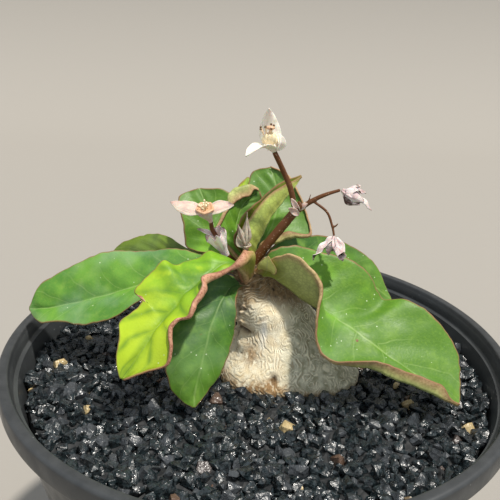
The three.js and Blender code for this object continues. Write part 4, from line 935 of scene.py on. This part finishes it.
def petal(rib, half, across, cup=0.35, dark=0.0, faces=(0, 0), ruffle=0.12, crumple=0.0, seed=0):
    """A pointed bract as closed rings, with its looks: share along, share across, darkness.

    The tip is darkened by dark, and the upper and lower faces by the two values of faces.
    """
    u = np.linspace(0, 1, BRACT_ROWS + 1)[:, None, None]
    centre = spline(rib, TIP_REACH * u[:, 0, 0])[:, None]
    along = unit(np.gradient(centre[:, 0], axis=0))[:, None]
    side = unit(np.array(across, float))
    up = unit(np.cross(side, along))
    v = np.linspace(-1, 1, 2 * HALF_BRACT + 1)[None, :, None]
    width = half * smooth(u, *BRACT_SPREAD) * (1 - u**3) + TIP_WIDTH
    points = centre + side * v * width + up * cup * width * v**2
    waves = noise_at(points, RUFFLE_SIZE, seed)[..., None]
    points = points + up * waves * (ruffle * half * np.abs(v) ** 2 + crumple)
    thick = BRACT_THICKNESS * (1 - EDGE_FINENESS * v**2) / 2
    normal = grid_normals(points)
    rings = shell(points, normal * thick, -normal * thick)
    looks = stacked(u[..., 0], v[..., 0], dark * smooth(u[..., 0], *DARK_TIP))
    over, under = (looks + [0, 0, share] for share in faces)
    return rings, round_sheet(over, under)


def petals(specs, first_seed, **look):
    return [petal(**spec, **look, seed=first_seed + k) for k, spec in enumerate(specs)]


def turned(start, end, profile, lobes=5, lobe_depth=0.15, twist=0.0, crumple=0.0, dark=0.0, dark_from=0.5,
           slit=0.0, seed=0):
    """A lobed round body along a straight axis as closed rings, with its looks."""
    axis, side, up = straight_axis(start, end)
    t = np.linspace(0, 1, TURNED_STEPS + 1)
    outline = spline(profile, t)
    angle = full_turn(TURNED_SIDES)
    valley = np.abs(np.sin(lobes * angle / 2 + twist * t[:, None]))
    radius = outline[:, 1:] * (1 - lobe_depth * valley**LOBE_SHARPNESS)
    out = circled(side, up, angle)
    points = start + axis * outline[:, :1, None] + out * radius[..., None]
    points = points + out * (crumple * noise_at(points, CREASE_SIZE, seed))[..., None]
    dark_end = dark * smooth(t[:, None], dark_from, 1)
    return points, stacked(t[:, None], angle / math.pi - 1, dark_end + slit * smooth(valley, *SLIT_EDGE))


def bead(centre, radius, tone=0.0, stretch=(1, 1, 1)):
    """A small round lump, with one tone all over."""
    polar = np.linspace(BEAD_POLE, math.pi - BEAD_POLE, BEAD_STEPS + 1)[:, None]
    angle = full_turn(BEAD_SIDES)
    ball = stacked(np.sin(polar) * np.cos(angle), np.sin(polar) * np.sin(angle), np.cos(polar))
    points = np.array(centre, float) + radius * ball * stretch
    return points, np.broadcast_to([*MIDDLE_LOOK, tone], points.shape)


def thread(foot, tip, tone):
    """A short bent thread."""
    middle = lerp(np.array(foot, float), np.array(tip, float), 0.5) + THREAD_BEND
    centres = spline([foot, middle, tip], np.linspace(0, 1, THREAD_STEPS + 1))
    rings = centres[:, None] + THREAD_RADIUS * circled(*across_path(centres), full_turn(THREAD_SIDES))
    return rings, np.broadcast_to([*MIDDLE_LOOK, tone], rings.shape)


def gathered(shapes):
    """Several closed ring bodies as the points, faces and looks of one mesh."""
    points, faces, looks, start = [], [], [], 0
    for rings, look in shapes:
        points.append(rings.reshape(-1, 3))
        looks.append(look.reshape(-1, 3))
        faces += [[start + corner for corner in face] for face in ring_faces(*rings.shape[:2])]
        start += len(points[-1])
    return np.vstack(points), faces, np.vstack(looks)


def add_shapes(name, shapes, finish, node):
    points, faces, looks = gathered(shapes)
    add_piece(name, points, faces, finish, [node], {"look": looks})


# Stalks and blooms

def add_stalk(node, tubes, finish):
    """Tubes grown together into one smooth skin."""
    points, faces, _ = gathered([tube(*spec, seed=k) for k, spec in enumerate(tubes)])
    stalk = add_piece(node + "_skin", points, faces, finish, [node])
    skin = stalk.modifiers.new("skin", "REMESH")
    skin.mode = "VOXEL"
    skin.voxel_size = STALK_VOXEL * MM
    skin.use_smooth_shade = True
    settle = stalk.modifiers.new("settle", "SMOOTH")
    settle.factor = SETTLE_FACTOR
    settle.iterations = SETTLE_ROUNDS
    apply_modifiers(stalk, skin, settle)


def add_blooms(bract, pink_bract, old_bract, floret, bud, withered, scale):
    scales = petals(NODE_SCALES, first_seed=0, ruffle=0.3, crumple=0.12, dark=0.3)
    add_shapes("node_scales", scales, scale, "stalk_main")
    top = [*petals(TOP_BRACTS, first_seed=10), turned(**TOP_CUP)]
    add_shapes("bloom_top_petals", top, bract, "bloom_top_bracts")
    add_shapes("bloom_top_florets", top_florets(), floret, "bloom_top_centre")
    left = [*petals(LEFT_BRACTS, first_seed=20), turned(**LEFT_CUP)]
    add_shapes("bloom_left_petals", left, pink_bract, "bloom_left_bracts")
    add_shapes("bloom_left_florets", left_florets(), floret, "bloom_left_centre")
    strip = petal(**OLD_STRIP, dark=0.8, ruffle=0.3, crumple=0.1, seed=7)
    add_shapes("old_bracts", [funnel(), strip], old_bract, "bract_cup_left")
    pair = [*[turned(**spec) for spec in BUDS], turned(**BUD_RIM), petal(**BUD_SCALE, seed=4)]
    add_shapes("bud_pair", pair, bud, "buds")
    side = petals(SIDE_WITHERED_BRACTS, first_seed=30, ruffle=0.5, crumple=0.35, dark=0.5)
    side.append(turned(**SIDE_WITHERED_CORE))
    add_shapes("withered_side", side, withered, "bloom_side_withered")
    hanging = petals(HANGING_WITHERED_BRACTS, first_seed=40, ruffle=0.45, crumple=0.3, dark=0.4)
    hanging += [turned(**HANGING_WITHERED_CORE), turned(**SIDE_SPUR)]
    add_shapes("withered_hanging", hanging, withered, "bloom_hanging_withered")


def ring_point(angle, reach_x, reach_y, z):
    return [reach_x * math.cos(angle), reach_y * math.sin(angle), z]


def top_florets():
    """The bell of the top bloom with its gland, its lumps and a ring of threads."""
    random = np.random.default_rng(SEED + 1)
    bell, looks = turned(**TOP_BELL)
    shapes = [(bell, looks + [0, 0, LUMP_TONE]), bead(**TOP_GLAND)]
    bottom, top = (np.array(TOP_BELL[end], float) for end in ("start", "end"))
    lumps, threads = TOP_LUMPS, TOP_THREADS
    for angle in lumps["angles"]:
        aside = ring_point(angle, lumps["reach"], lumps["reach"], random.uniform(*lumps["rise"]))
        place = lerp(bottom, top, lumps["along"]) + aside
        shapes.append(bead(place, random.uniform(*lumps["radius"]), LUMP_TONE, lumps["stretch"]))
    for angle in full_turn(threads["count"]):
        foot = top + ring_point(angle, *threads["foot"])
        tip = top + ring_point(angle, *threads["tip"], random.uniform(*threads["rise"]))
        shapes += [thread(foot, tip, THREAD_TONES[0]), bead(tip, threads["bead"], BEAD_TONES[0])]
    return shapes


def left_florets():
    """The gland bowl of the left bloom with its threads, each with a bead."""
    random = np.random.default_rng(SEED + 2)
    shapes = [turned(**LEFT_BOWL)]
    base, threads = LEFT_BOWL["start"], LEFT_THREADS
    axis, side, up = straight_axis(base, LEFT_BOWL["end"])
    rise, spread = threads["foot"]
    for place in full_turn(threads["count"]):
        angle = place + random.uniform(-threads["turn"], threads["turn"])
        out = random.uniform(*threads["reach"]) * (side * math.cos(angle) + up * math.sin(angle))
        foot = base + axis * rise + out * spread
        tip = base + axis * random.uniform(*threads["rise"]) + out * threads["spread"]
        shapes += [thread(foot, tip, THREAD_TONES[1]), bead(tip, threads["bead"], BEAD_TONES[1])]
    return shapes


def funnel():
    """The old bracts round the top of the left stalk: a ragged thin funnel."""
    start, axis_end, profile = BRACT_FUNNEL.values()
    axis, side, up = straight_axis(start, axis_end)
    folds, teeth = FUNNEL_FOLDS, FUNNEL_TEETH
    t = np.linspace(0, 1, TURNED_STEPS + 1)[:, None]
    outline = spline(profile, t[:, 0])
    angle = np.linspace(0, 2 * math.pi, FUNNEL_SIDES + 1)
    ragged = np.sin(teeth["count"] * angle)
    folded = np.sin(folds["count"] * angle + folds["twist"] * t) * smooth(t, *folds["from"])
    torn = smooth(t, *teeth["from"]) * (np.abs(ragged) + teeth["fine_share"] * np.sin(teeth["fine"] * angle))
    reach = outline[:, 1:] * (1 + folds["depth"] * folded)
    out = circled(side, up, angle)
    points = start + axis * (outline[:, :1] + teeth["height"] * torn)[..., None] + out * reach[..., None]
    points = points + out * (layered(points, FUNNEL_CREASES) * t)[..., None]
    thick = grid_normals(points) * BRACT_THICKNESS / 2
    dark = FUNNEL_DARKNESS * smooth(t, *FUNNEL_DARK_RIM)
    return shell(points, thick, -thick), round_sheet(stacked(t, ragged, dark))


# Leaves

def blade_surface(leaf):
    """The places of a blade's rows and its middle surface as rows of points, far margin first."""
    u = np.linspace(0, 1, leaf["rows"] + 1)
    rib, far, near = (spline(leaf[side], TIP_REACH * u)[:, None] for side in ("rib", "far", "near"))
    along = np.gradient(rib[:, 0], axis=0)[:, None]
    up = unit(np.cross(far - near, along))
    v = np.linspace(-1, 1, 2 * HALF_COLUMNS + 1)[None, :, None]
    side = np.where(v < 0, far, near)
    reach = np.abs(v)
    width = np.linalg.norm(side - rib, axis=-1, keepdims=True)
    teeth = noise_at(side, TOOTH_SIZE, TOOTH_SEED)[..., None]
    teeth = teeth * TOOTH_HEIGHT * np.minimum(1, width / FULL_TEETH_WIDTH)
    bulge = unit(far - near) * np.where(v < 0, 1, -1) * leaf.get("belly", 0) * width * np.sin(math.pi * reach)
    height, count, phase = leaf["wave"]
    waves = smooth(u, *WAVES_START) * (1 - smooth(u, *WAVES_END))
    angle = 2 * math.pi * count * u[:, None, None] + phase + np.where(v < 0, 0, MARGIN_PHASE)
    ripple = height * np.sin(angle) * waves[:, None, None] * reach**2
    lift = leaf["arch"] * width * np.sin(math.pi * reach)
    points = lerp(rib, side, reach) + bulge + up * (lift + ripple) + unit(side - rib) * teeth * reach**5
    if "roll" in leaf:
        points = np.concatenate([points, rolled_margin(leaf["roll"], points, up, u)], axis=1)
    return u, points


def rolled_margin(roll, points, up, u):
    """The near margin turned up and over in a small arc, and on down in a flap."""
    edge = points[:, -1:]
    outward = unit(edge - points[:, -2:-1])
    lift = roll["side"] * unit(up - outward * np.sum(up * outward, axis=-1, keepdims=True))
    radius = eased(roll["radii"], u)[:, None, None]
    steps = np.arange(1, ROLL_COLUMNS + 1)[None, :, None]
    angle = roll["turn"] * steps / ROLL_COLUMNS
    turn = edge + radius * (outward * np.sin(angle) + lift * (1 - np.cos(angle)))
    onward = outward * math.cos(roll["turn"]) + lift * math.sin(roll["turn"])
    length = (eased(roll["flap"], u) + FLAP_REST)[:, None, None]
    return np.concatenate([turn, turn[:, -1:] + onward * length * (steps / ROLL_COLUMNS)], axis=1)


def add_leaf(name, leaf, finish):
    """A blade with a grooved rib, pillows between its side veins and a thick foot."""
    u, points = blade_surface(leaf)
    normal = grid_normals(points)
    middle = (leaf["rows"] // 2, HALF_COLUMNS)
    if normal[middle] @ (ABOVE_CROWN - points[middle]) < 0:
        normal = -normal
    steps = np.linalg.norm(np.diff(points, axis=1), axis=-1)
    walked = np.concatenate([np.zeros((len(u), 1)), np.cumsum(steps, axis=1)], axis=1)
    across = walked - walked[:, HALF_COLUMNS : HALF_COLUMNS + 1]
    margin = np.minimum(walked, walked[:, -1:] - walked)
    share = np.abs(across) / (np.abs(across[:, :1]) + 1e-6)
    phase = leaf["veins"] * u[:, None] - VEIN_SWEEP * np.clip(share, 0, VEIN_REACH) ** VEIN_CURVE
    phase = phase + np.where(across < 0, VEIN_STAGGER, 0)
    foot = (leaf.get("petiole", PETIOLE) - BLADE) * np.exp(-((u / PETIOLE_REACH) ** 2))[:, None]
    body = lerp(EDGE_BLADE, BLADE, smooth(margin, *EDGE_THINNING))
    half = (body + foot * (1 - FOOT_THINNING * np.clip(share, 0, 1))) / 2
    groove = np.exp(-((across / GROOVE_WIDTH) ** 2)) * smooth(margin, *GROOVE_FROM_MARGIN)
    pillows = PILLOW_HEIGHT * smooth(margin, *PILLOWS_FROM_MARGIN) * np.cos(2 * math.pi * phase)
    relief = -GROOVE_DEPTH * groove + pillows
    below = half - relief * UNDER_RELIEF + RIB_DEPTH * groove
    rings = shell(points, normal * (half + relief)[..., None], -normal * below[..., None])
    top = round_sheet(np.ones_like(across), np.zeros_like(across))
    blade = round_sheet(stacked(u[:, None], across, phase))
    values = {"blade": blade, "margin": round_sheet(margin), "top": top}
    add_rings(name + "_blade", rings, finish, name, values)


def add_fold(name, fold, finish):
    """The small fold that stands up at the foot of a leaf, all underside."""
    rings, looks = petal(**fold, ruffle=0.25, seed=50)
    share, across = looks[..., 0], fold["half"] * looks[..., 1]
    length = np.linalg.norm(np.subtract(fold["rib"][-1], fold["rib"][0]))
    margin = np.minimum(fold["half"] - np.abs(across), length * (1 - share))
    none = np.zeros_like(share)
    values = {"blade": stacked(none + FOLD_PLACE, across, none), "margin": margin, "top": none}
    add_rings(name + "_fold", rings, finish, name, values)


# Caudex

def caudex_surface():
    """Points round the caudex's leaning outline, closer together in front, and their outward ways."""
    t = np.linspace(0, 1, CAUDEX_RINGS + 1)
    rows = np.array(CAUDEX_OUTLINE, float)
    centre = spline(rows[:, [1, 2, 0]], t)
    radii = spline(np.column_stack([rows[:, 3:], rows[:, 0]]), t)
    turn = full_turn(CAUDEX_SIDES)
    angle = turn - math.pi / 2 - FRONT_CROWDING * np.sin(turn)
    power = lerp(FOOT_SQUARENESS, 2, smooth(centre[:, 2], SQUARE_BELOW, OVAL_ABOVE))[:, None]
    reach = (np.abs(np.cos(angle)) ** power + np.abs(np.sin(angle)) ** power) ** (-1 / power)
    out = stacked(np.cos(angle), np.sin(angle), 0 * reach)
    return centre[:, None] + out * stacked(reach * radii[:, :1], reach * radii[:, 1:2], 0), out


def stripes(points, kind):
    """A field that grows by one from each stripe to the next, wavering as it goes."""
    a, b = kind["across"]
    return layered(points, kind["waver"], (a * points[..., 0] + b * points[..., 2]) / kind["step"])


def contour_profile(field, points):
    """Along each contour line of a field: a ridge on one side of it and a crack on the other."""
    slopes = []
    for axis in (0, 1):
        step = np.linalg.norm(np.gradient(points, axis=axis), axis=-1)
        slopes.append(np.gradient(field, axis=axis) / np.maximum(step, 1e-3))
    steepness = np.maximum(np.hypot(*slopes), LEAST_STEEPNESS)
    distance = ((field % 1) - 0.5) / steepness / WRINKLE_WIDTH
    return distance * np.exp(0.5 - distance**2 / 2)


def bark_field(points):
    """A height whose contour lines are the wrinkles: loops, then strands in front and a fanned left foot."""
    x, y, z = np.moveaxis(points, -1, 0)
    front = smooth(-y, *STRANDS_FORWARD) * smooth(-x, *STRANDS_LEFTWARD)
    left_foot = smooth(-x, *FANS_LEFTWARD) * (1 - smooth(z, *FANS_END))
    field = lerp(layered(points, BARK_LOOPS), stripes(points, BARK_STRANDS), front)
    return lerp(field, stripes(points, BARK_FANS), left_foot)


def bark_spots(points, spots):
    """1 at the middle of each spot, fading out at its size."""
    shares = [np.exp(-np.linalg.norm((points - place) / size, axis=-1) ** 2) for place, size in spots]
    return np.max(shares, axis=0)


def add_caudex(finish):
    points, out = caudex_surface()
    x, z = points[..., 0], points[..., 2]
    neck = smooth(z, *NECK_UPWARD) * smooth(-x, *NECK_LEFTWARD)
    rings = contour_profile(stripes(points, NECK_RINGS), points)
    profile = lerp(contour_profile(bark_field(points), points), rings, neck)
    broken = lerp(BARK_BREAK, NECK_BREAK, neck)
    profile = profile * smooth(noise_at(points, BREAK_SIZE, BREAK_SEED), broken, broken + BREAK_EDGE)
    shown = smooth(z, *BARK_UPWARD) * (1 - smooth(z, *BARK_END))
    lumps = layered(points, BARK_LUMPS) + SWELL_HEIGHT * bark_spots(points, BARK_SWELLS)
    scaly = smooth(noise_at(points * [1, 1, FLAKE_FLATNESS], FLAKE_SIZE, FLAKE_SEED), *FLAKE_EDGE)
    flakes = FLAKE_HEIGHT * scaly * smooth(-x, *FLAKES_LEFTWARD) * smooth(z, *FLAKES_UPWARD)
    # The pits are sunk into the bark, and their dark colour is painted shade.
    pit = bark_spots(points, BARK_PITS)
    relief = lumps + flakes + WRINKLE_DEPTH * profile - PIT_DEPTH * pit
    # painted shade: the crown under the leaves is darkened, and tinted rusty through the stains
    crown = smooth(z + CROWN_LEAN * x, *CROWN_UPWARD)
    soil_line = smooth(-z - SOIL_LINE_LEAN * x, *SOIL_LINE_DOWNWARD)
    # The stains tint the bark rusty; at the crown, in the pits and under the neck's ring this tint is painted
    # shade.
    stains_and_shade = CROWN_SHADE_AND_STAIN * crown + SOIL_LINE_STAIN * soil_line + SPOT_STAIN_AND_SHADE * bark_spots(points, STAINS_AND_SHADE)
    # painted shade: the caudex's right side is given a grey tone
    values = {"wrinkle": profile * shown, "rust_and_shade": np.clip(stains_and_shade + pit, 0, 1) * shown, "pit": pit**2,
              "crown": crown, "pale": bark_spots(points, [PALE_STREAK]),
              "shaded_side": smooth(x, *SHADED_SIDE_RIGHTWARD)}
    add_rings("caudex_bark", points + out * (shown * relief)[..., None], finish, "caudex", values)


# Pot

def pot_inner_radius(height):
    return lerp(BASE_RADIUS, RIM_RADIUS - RIM_OVERHANG, height / (POT_HEIGHT - RIM_DROP)) - WALL


def arc(x, y, radius, start, end, steps):
    """Points of an arc about x, y from one angle to another, in degrees."""
    angles = np.radians(np.linspace(start, end, steps))
    return [[x + radius * math.cos(a), y + radius * math.sin(a)] for a in angles]


def pot_outline():
    """Radius and height from the middle of the base, up the outside, over the rim and down the inside."""
    h = POT_HEIGHT
    under_rim = RIM_RADIUS - RIM_OVERHANG
    inside = RIM_RADIUS - RIM_FACE
    lip, foot = LIP_ROUNDING, FOOT_ROUNDING
    return np.array([
        [AXIS_GAP, 0],
        [BASE_RADIUS - BASE_BAND, 0],
        *arc(BASE_RADIUS - foot, foot, foot, -90, 10, 6),
        *[[lerp(BASE_RADIUS, under_rim, t), lerp(foot, h - RIM_DROP, t)] for t in (0.25, 0.5, 0.75)],
        *arc(under_rim + lip, h - RIM_DROP - lip, lip, 180, 90, 4),
        *arc(RIM_RADIUS - lip, h - RIM_DROP + lip, lip, -90, 0, 4),
        *arc(RIM_RADIUS - RIM_ROUNDING, h - RIM_ROUNDING, RIM_ROUNDING, 0, 90, 6),
        *arc(inside + LIP_INSET, h - lip, lip, 90, 180, 5),
        *[[inside - inward, h - down] for inward, down in RIM_INSIDE],
        *arc(inside - STEP_CORNER[0], h - STEP_CORNER[1], STEP_ROUNDING, 0, -60, 3),
        *[[pot_inner_radius(z), z] for z in (h - RIM_STEP_DEPTH, h - RIM_BAND, h / 2, WALL)],
        [AXIS_GAP, WALL],
    ])


def add_pot(finish):
    outline = pot_outline()
    angle = full_turn(POT_SIDES)
    radius, height = outline[:, :1], outline[:, 1:]
    rings = stacked(radius * np.cos(angle), radius * np.sin(angle), height - SOIL_LEVEL)
    rim = smooth(rings[..., 2] + SOIL_LEVEL, POT_HEIGHT - RIM_SHEEN_FROM, POT_HEIGHT - RIM_SHEEN_FULL)
    pot = add_rings("pot_shell", rings, finish, "pot", {"rim": rim})
    cut_drain_holes(pot)
    pot.data.set_sharp_from_angle(angle=math.radians(SHARP_EDGE))


def cut_drain_holes(pot):
    cutter = bmesh.new()
    radius = DRAIN_HOLE_RADIUS * MM
    for k in range(DRAIN_HOLES):
        angle = 2 * math.pi * (k + 0.5) / DRAIN_HOLES
        place = Vector(ring_point(angle, DRAIN_RING_RADIUS, DRAIN_RING_RADIUS, 0))
        bmesh.ops.create_cone(cutter, cap_ends=True, segments=DRAIN_HOLE_SIDES, radius1=radius,
                              radius2=radius, depth=4 * WALL * MM, matrix=Matrix.Translation(place * MM))
    mesh = bpy.data.meshes.new("drain_holes")
    cutter.to_mesh(mesh)
    cutter.free()
    holes = link("drain_holes", mesh)
    cut = pot.modifiers.new("drain_holes", "BOOLEAN")
    cut.object = holes
    cut.operation = "DIFFERENCE"
    apply_modifiers(pot, cut)
    bpy.data.objects.remove(holes)


# Grit

def grain_shapes(random):
    """A few angular stones, each a hull of corners on a rough ball of radius 1."""
    shapes = []
    for _ in range(GRAIN_SHAPES):
        stone = bmesh.new()
        for corner in unit(random.normal(size=(GRAIN_CORNERS, 3))):
            stone.verts.new(corner * random.uniform(*CORNER_REACH))
        hull = bmesh.ops.convex_hull(stone, input=stone.verts)
        loose = [v for v in hull["geom_interior"] + hull["geom_unused"] if isinstance(v, bmesh.types.BMVert)]
        bmesh.ops.delete(stone, geom=list(set(loose)), context="VERTS")
        stone.verts.index_update()
        faces = np.array([[v.index for v in f.verts] for f in stone.faces])
        shapes.append((np.array([v.co for v in stone.verts]), faces))
        stone.free()
    return shapes


def scattered(random, spacing, radius):
    """Places on a disc that keep about the spacing from each other."""
    cell = spacing * CELL_SHARE
    count = int(radius / cell) + 2
    places = []
    for row in range(-count, count + 1):
        for column in range(-count, count + 1):
            x = (column + 0.5 * (row % 2)) * cell + random.uniform(-JITTER, JITTER) * spacing
            y = row * cell * ROW_SHARE + random.uniform(-JITTER, JITTER) * spacing
            if math.hypot(x, y) < radius:
                places.append((x, y))
    return places


def add_grit(finish):
    """Loose grains in layers on the soil, small ones below and large ones on top."""
    random = np.random.default_rng(SEED)
    shapes = grain_shapes(random)
    soil = BVHTree.FromObject(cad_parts["soil"], bpy.context.evaluated_depsgraph_get())
    points, faces, tones = [], [], []
    total = 0
    grains = [(x, y, radii, rise) for spacing, radii, rise in GRAIN_LAYERS
              for x, y in scattered(random, spacing, pot_inner_radius(SOIL_LEVEL) - radii[1] / 2)]
    for x, y, radii, rise in grains:
        hit = soil.ray_cast(Vector((x, y, 2 * SOIL_LEVEL)) * MM, Vector((0, 0, -1)))[0]
        if hit is None or hit.z < (SOIL_LEVEL + LOWEST_GRAIN) * MM:
            continue
        shape, hull = shapes[random.integers(len(shapes))]
        size = lerp(*radii, random.random()) * random.uniform(*GRAIN_STRETCH, 3)
        turn = np.array(Quaternion(random.normal(size=4)).normalized().to_matrix())
        z = hit.z / MM - SOIL_LEVEL + rise + random.uniform(-GRAIN_UNEVENNESS, GRAIN_UNEVENNESS)
        points.append((shape * size) @ turn.T + [x, y, z])
        faces.append(hull + total)
        tones.append(np.full(len(shape), random.random()))
        total += len(shape)
    values = {"tone": np.concatenate(tones)}
    add_piece("soil_grit", np.vstack(points), np.vstack(faces).tolist(), finish, [], values,
              smooth_faces=False)


# Stage

def add_stage():
    """A floor that bends up into a plain wall."""
    paint = Shader("backdrop").finish(BACKDROP_PAINT, BACKDROP_ROUGHNESS)
    turns = np.linspace(BACKDROP_FIRST_TURN, math.pi / 2, BACKDROP_STEPS)
    bend = [[BACKDROP_BACK + BACKDROP_BEND * math.sin(a), BACKDROP_BEND * (1 - math.cos(a))] for a in turns]
    line = [[BACKDROP_FRONT, 0], [BACKDROP_BACK, 0], *bend, [BACKDROP_BACK + BACKDROP_BEND, BACKDROP_HEIGHT]]
    mesh = bpy.data.meshes.new("backdrop")
    points = [(x, y, z) for y, z in line for x in (-BACKDROP_SIDE, BACKDROP_SIDE)]
    faces = [(2 * k, 2 * k + 1, 2 * k + 3, 2 * k + 2) for k in range(len(line) - 1)]
    mesh.from_pydata(points, [], faces)
    mesh.shade_smooth()
    mesh.materials.append(paint)
    backdrop = link("backdrop", mesh)


def add_key_light():
    lamp = bpy.data.lights.new("key", "SUN")
    lamp.energy = KEY_STRENGTH
    lamp.angle = math.radians(KEY_SOFTNESS)
    lamp.color = KEY_COLOUR
    link("key", lamp).rotation_euler = (-Vector(LIGHT_FROM)).to_track_quat("-Z", "Y").to_euler()


def add_camera():
    data = bpy.data.cameras.new("camera")
    data.lens = LENS
    data.sensor_width = SENSOR_WIDTH
    camera = link("camera", data)
    tilt = Matrix.Rotation(math.radians(90 - CAMERA_PITCH), 4, "X")
    roll = Matrix.Rotation(math.radians(CAMERA_ROLL), 4, "Z")
    camera.matrix_world = Matrix.Translation(Vector(CAMERA_PLACE) * MM) @ tilt @ roll
    bpy.context.scene.camera = camera


def set_world():
    world = bpy.data.worlds.new("sky")
    world.use_nodes = True
    sky = world.node_tree.nodes["Background"]
    sky.inputs["Color"].default_value = SKY_COLOUR
    sky.inputs["Strength"].default_value = SKY_STRENGTH
    bpy.context.scene.world = world
    bpy.context.scene.view_settings.view_transform = "Standard"


# The object

add_camera()
finishes = {
    # The pale underside of this finish is partly painted light, standing for light that shines through the
    # leaf.
    "leaf": leaf_finish("leaf_green", (0.072, 0.178, 0.01), (0.165, 0.37, 0.02), (0.28, 0.46, 0.03),
                        under=(0.38, 0.42, 0.14), tip_shade=0.95, vein_share=0.32, flush=(0.6, 2.4)),
    "leaf_waxy": leaf_finish("leaf_waxy", (0.07, 0.2, 0.025), (0.14, 0.32, 0.035), (0.3, 0.42, 0.06),
                             under=(0.3, 0.34, 0.14), bloom=0.4, vein_share=0.35),
    "leaf_yellow": leaf_finish("leaf_yellow", (0.08, 0.21, 0.012), (0.17, 0.36, 0.014), (0.42, 0.56, 0.018),
                               under=(0.44, 0.36, 0.12), bloom=0.03, patches=0.5, yellowing=0.85,
                               dark_veins=0.6, vein_share=0.08, flush=(0.95, 4)),
    # A darker copy of the leaf finish, for the front and back right leaves: partly their own dark green,
    # partly painted shade, as these leaves lie in shade.
    "leaf_dark": leaf_finish("leaf_dark", (0.035, 0.11, 0.012), (0.07, 0.195, 0.018), (0.19, 0.35, 0.025),
                             under=(0.2, 0.26, 0.1), bloom=0.18, patches=0.4, yellowing=0.25, vein_share=0.2),
    "leaf_olive": leaf_finish("leaf_olive", (0.08, 0.13, 0.015), (0.14, 0.22, 0.02), (0.26, 0.32, 0.04),
                              under=(0.26, 0.26, 0.1), flush=(0.8, 3)),
    "leaf_pale": leaf_finish("leaf_pale", (0.1, 0.12, 0.01), (0.19, 0.22, 0.01), (0.4, 0.46, 0.03),
                             under=(0.36, 0.45, 0.1), flush=(0.4, 0.9)),
    # painted light: the fold is all underside, painted very pale so that the upright fold looks lit
    "leaf_fold": leaf_finish("leaf_fold", (0.095, 0.235, 0.013), (0.165, 0.37, 0.02), (0.28, 0.46, 0.03),
                             under=(0.98, 1, 0.32), flush=(0.35, 0.6)),
}
for leaf_name, leaf_shape in LEAVES.items():
    leaf_look = leaf_shape["finish"]
    add_leaf(leaf_name, leaf_shape, finishes[leaf_look])
    if "fold" in leaf_shape:
        add_fold(leaf_name, leaf_shape["fold"], finishes["leaf_fold"])
add_caudex(bark_finish())
add_pot(pot_finish())
add_grit(grit_finish())
stalk_skin = stalk_finish()
for stalk_node, stalk_tubes in STALKS.items():
    add_stalk(stalk_node, stalk_tubes, stalk_skin)
add_blooms(
    bract=petal_finish("bract", (0.95, 0.89, 0.77), (0.88, 0.79, 0.7), (0.2, 0.1, 0.06)),
    pink_bract=petal_finish("pink_bract", (0.7, 0.6, 0.48), (0.56, 0.36, 0.32), (0.2, 0.08, 0.06)),
    old_bract=petal_finish("old_bract", (0.95, 0.84, 0.8), (0.86, 0.64, 0.62), (0.14, 0.06, 0.05)),
    floret=floret_finish(),
    bud=petal_finish("bud", (0.55, 0.49, 0.38), (0.38, 0.3, 0.24), (0.06, 0.03, 0.02), 0.6),
    withered=petal_finish("withered", (0.86, 0.77, 0.73), (0.62, 0.42, 0.42), (0.045, 0.02, 0.01), 0.5),
    scale=petal_finish("scale", (0.72, 0.6, 0.52), (0.5, 0.3, 0.25), (0.16, 0.08, 0.04), 0.5),
)
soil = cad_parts["soil"]
soil.data.materials.clear()
soil.data.materials.append(soil_finish())
add_stage()
add_key_light()
set_world()
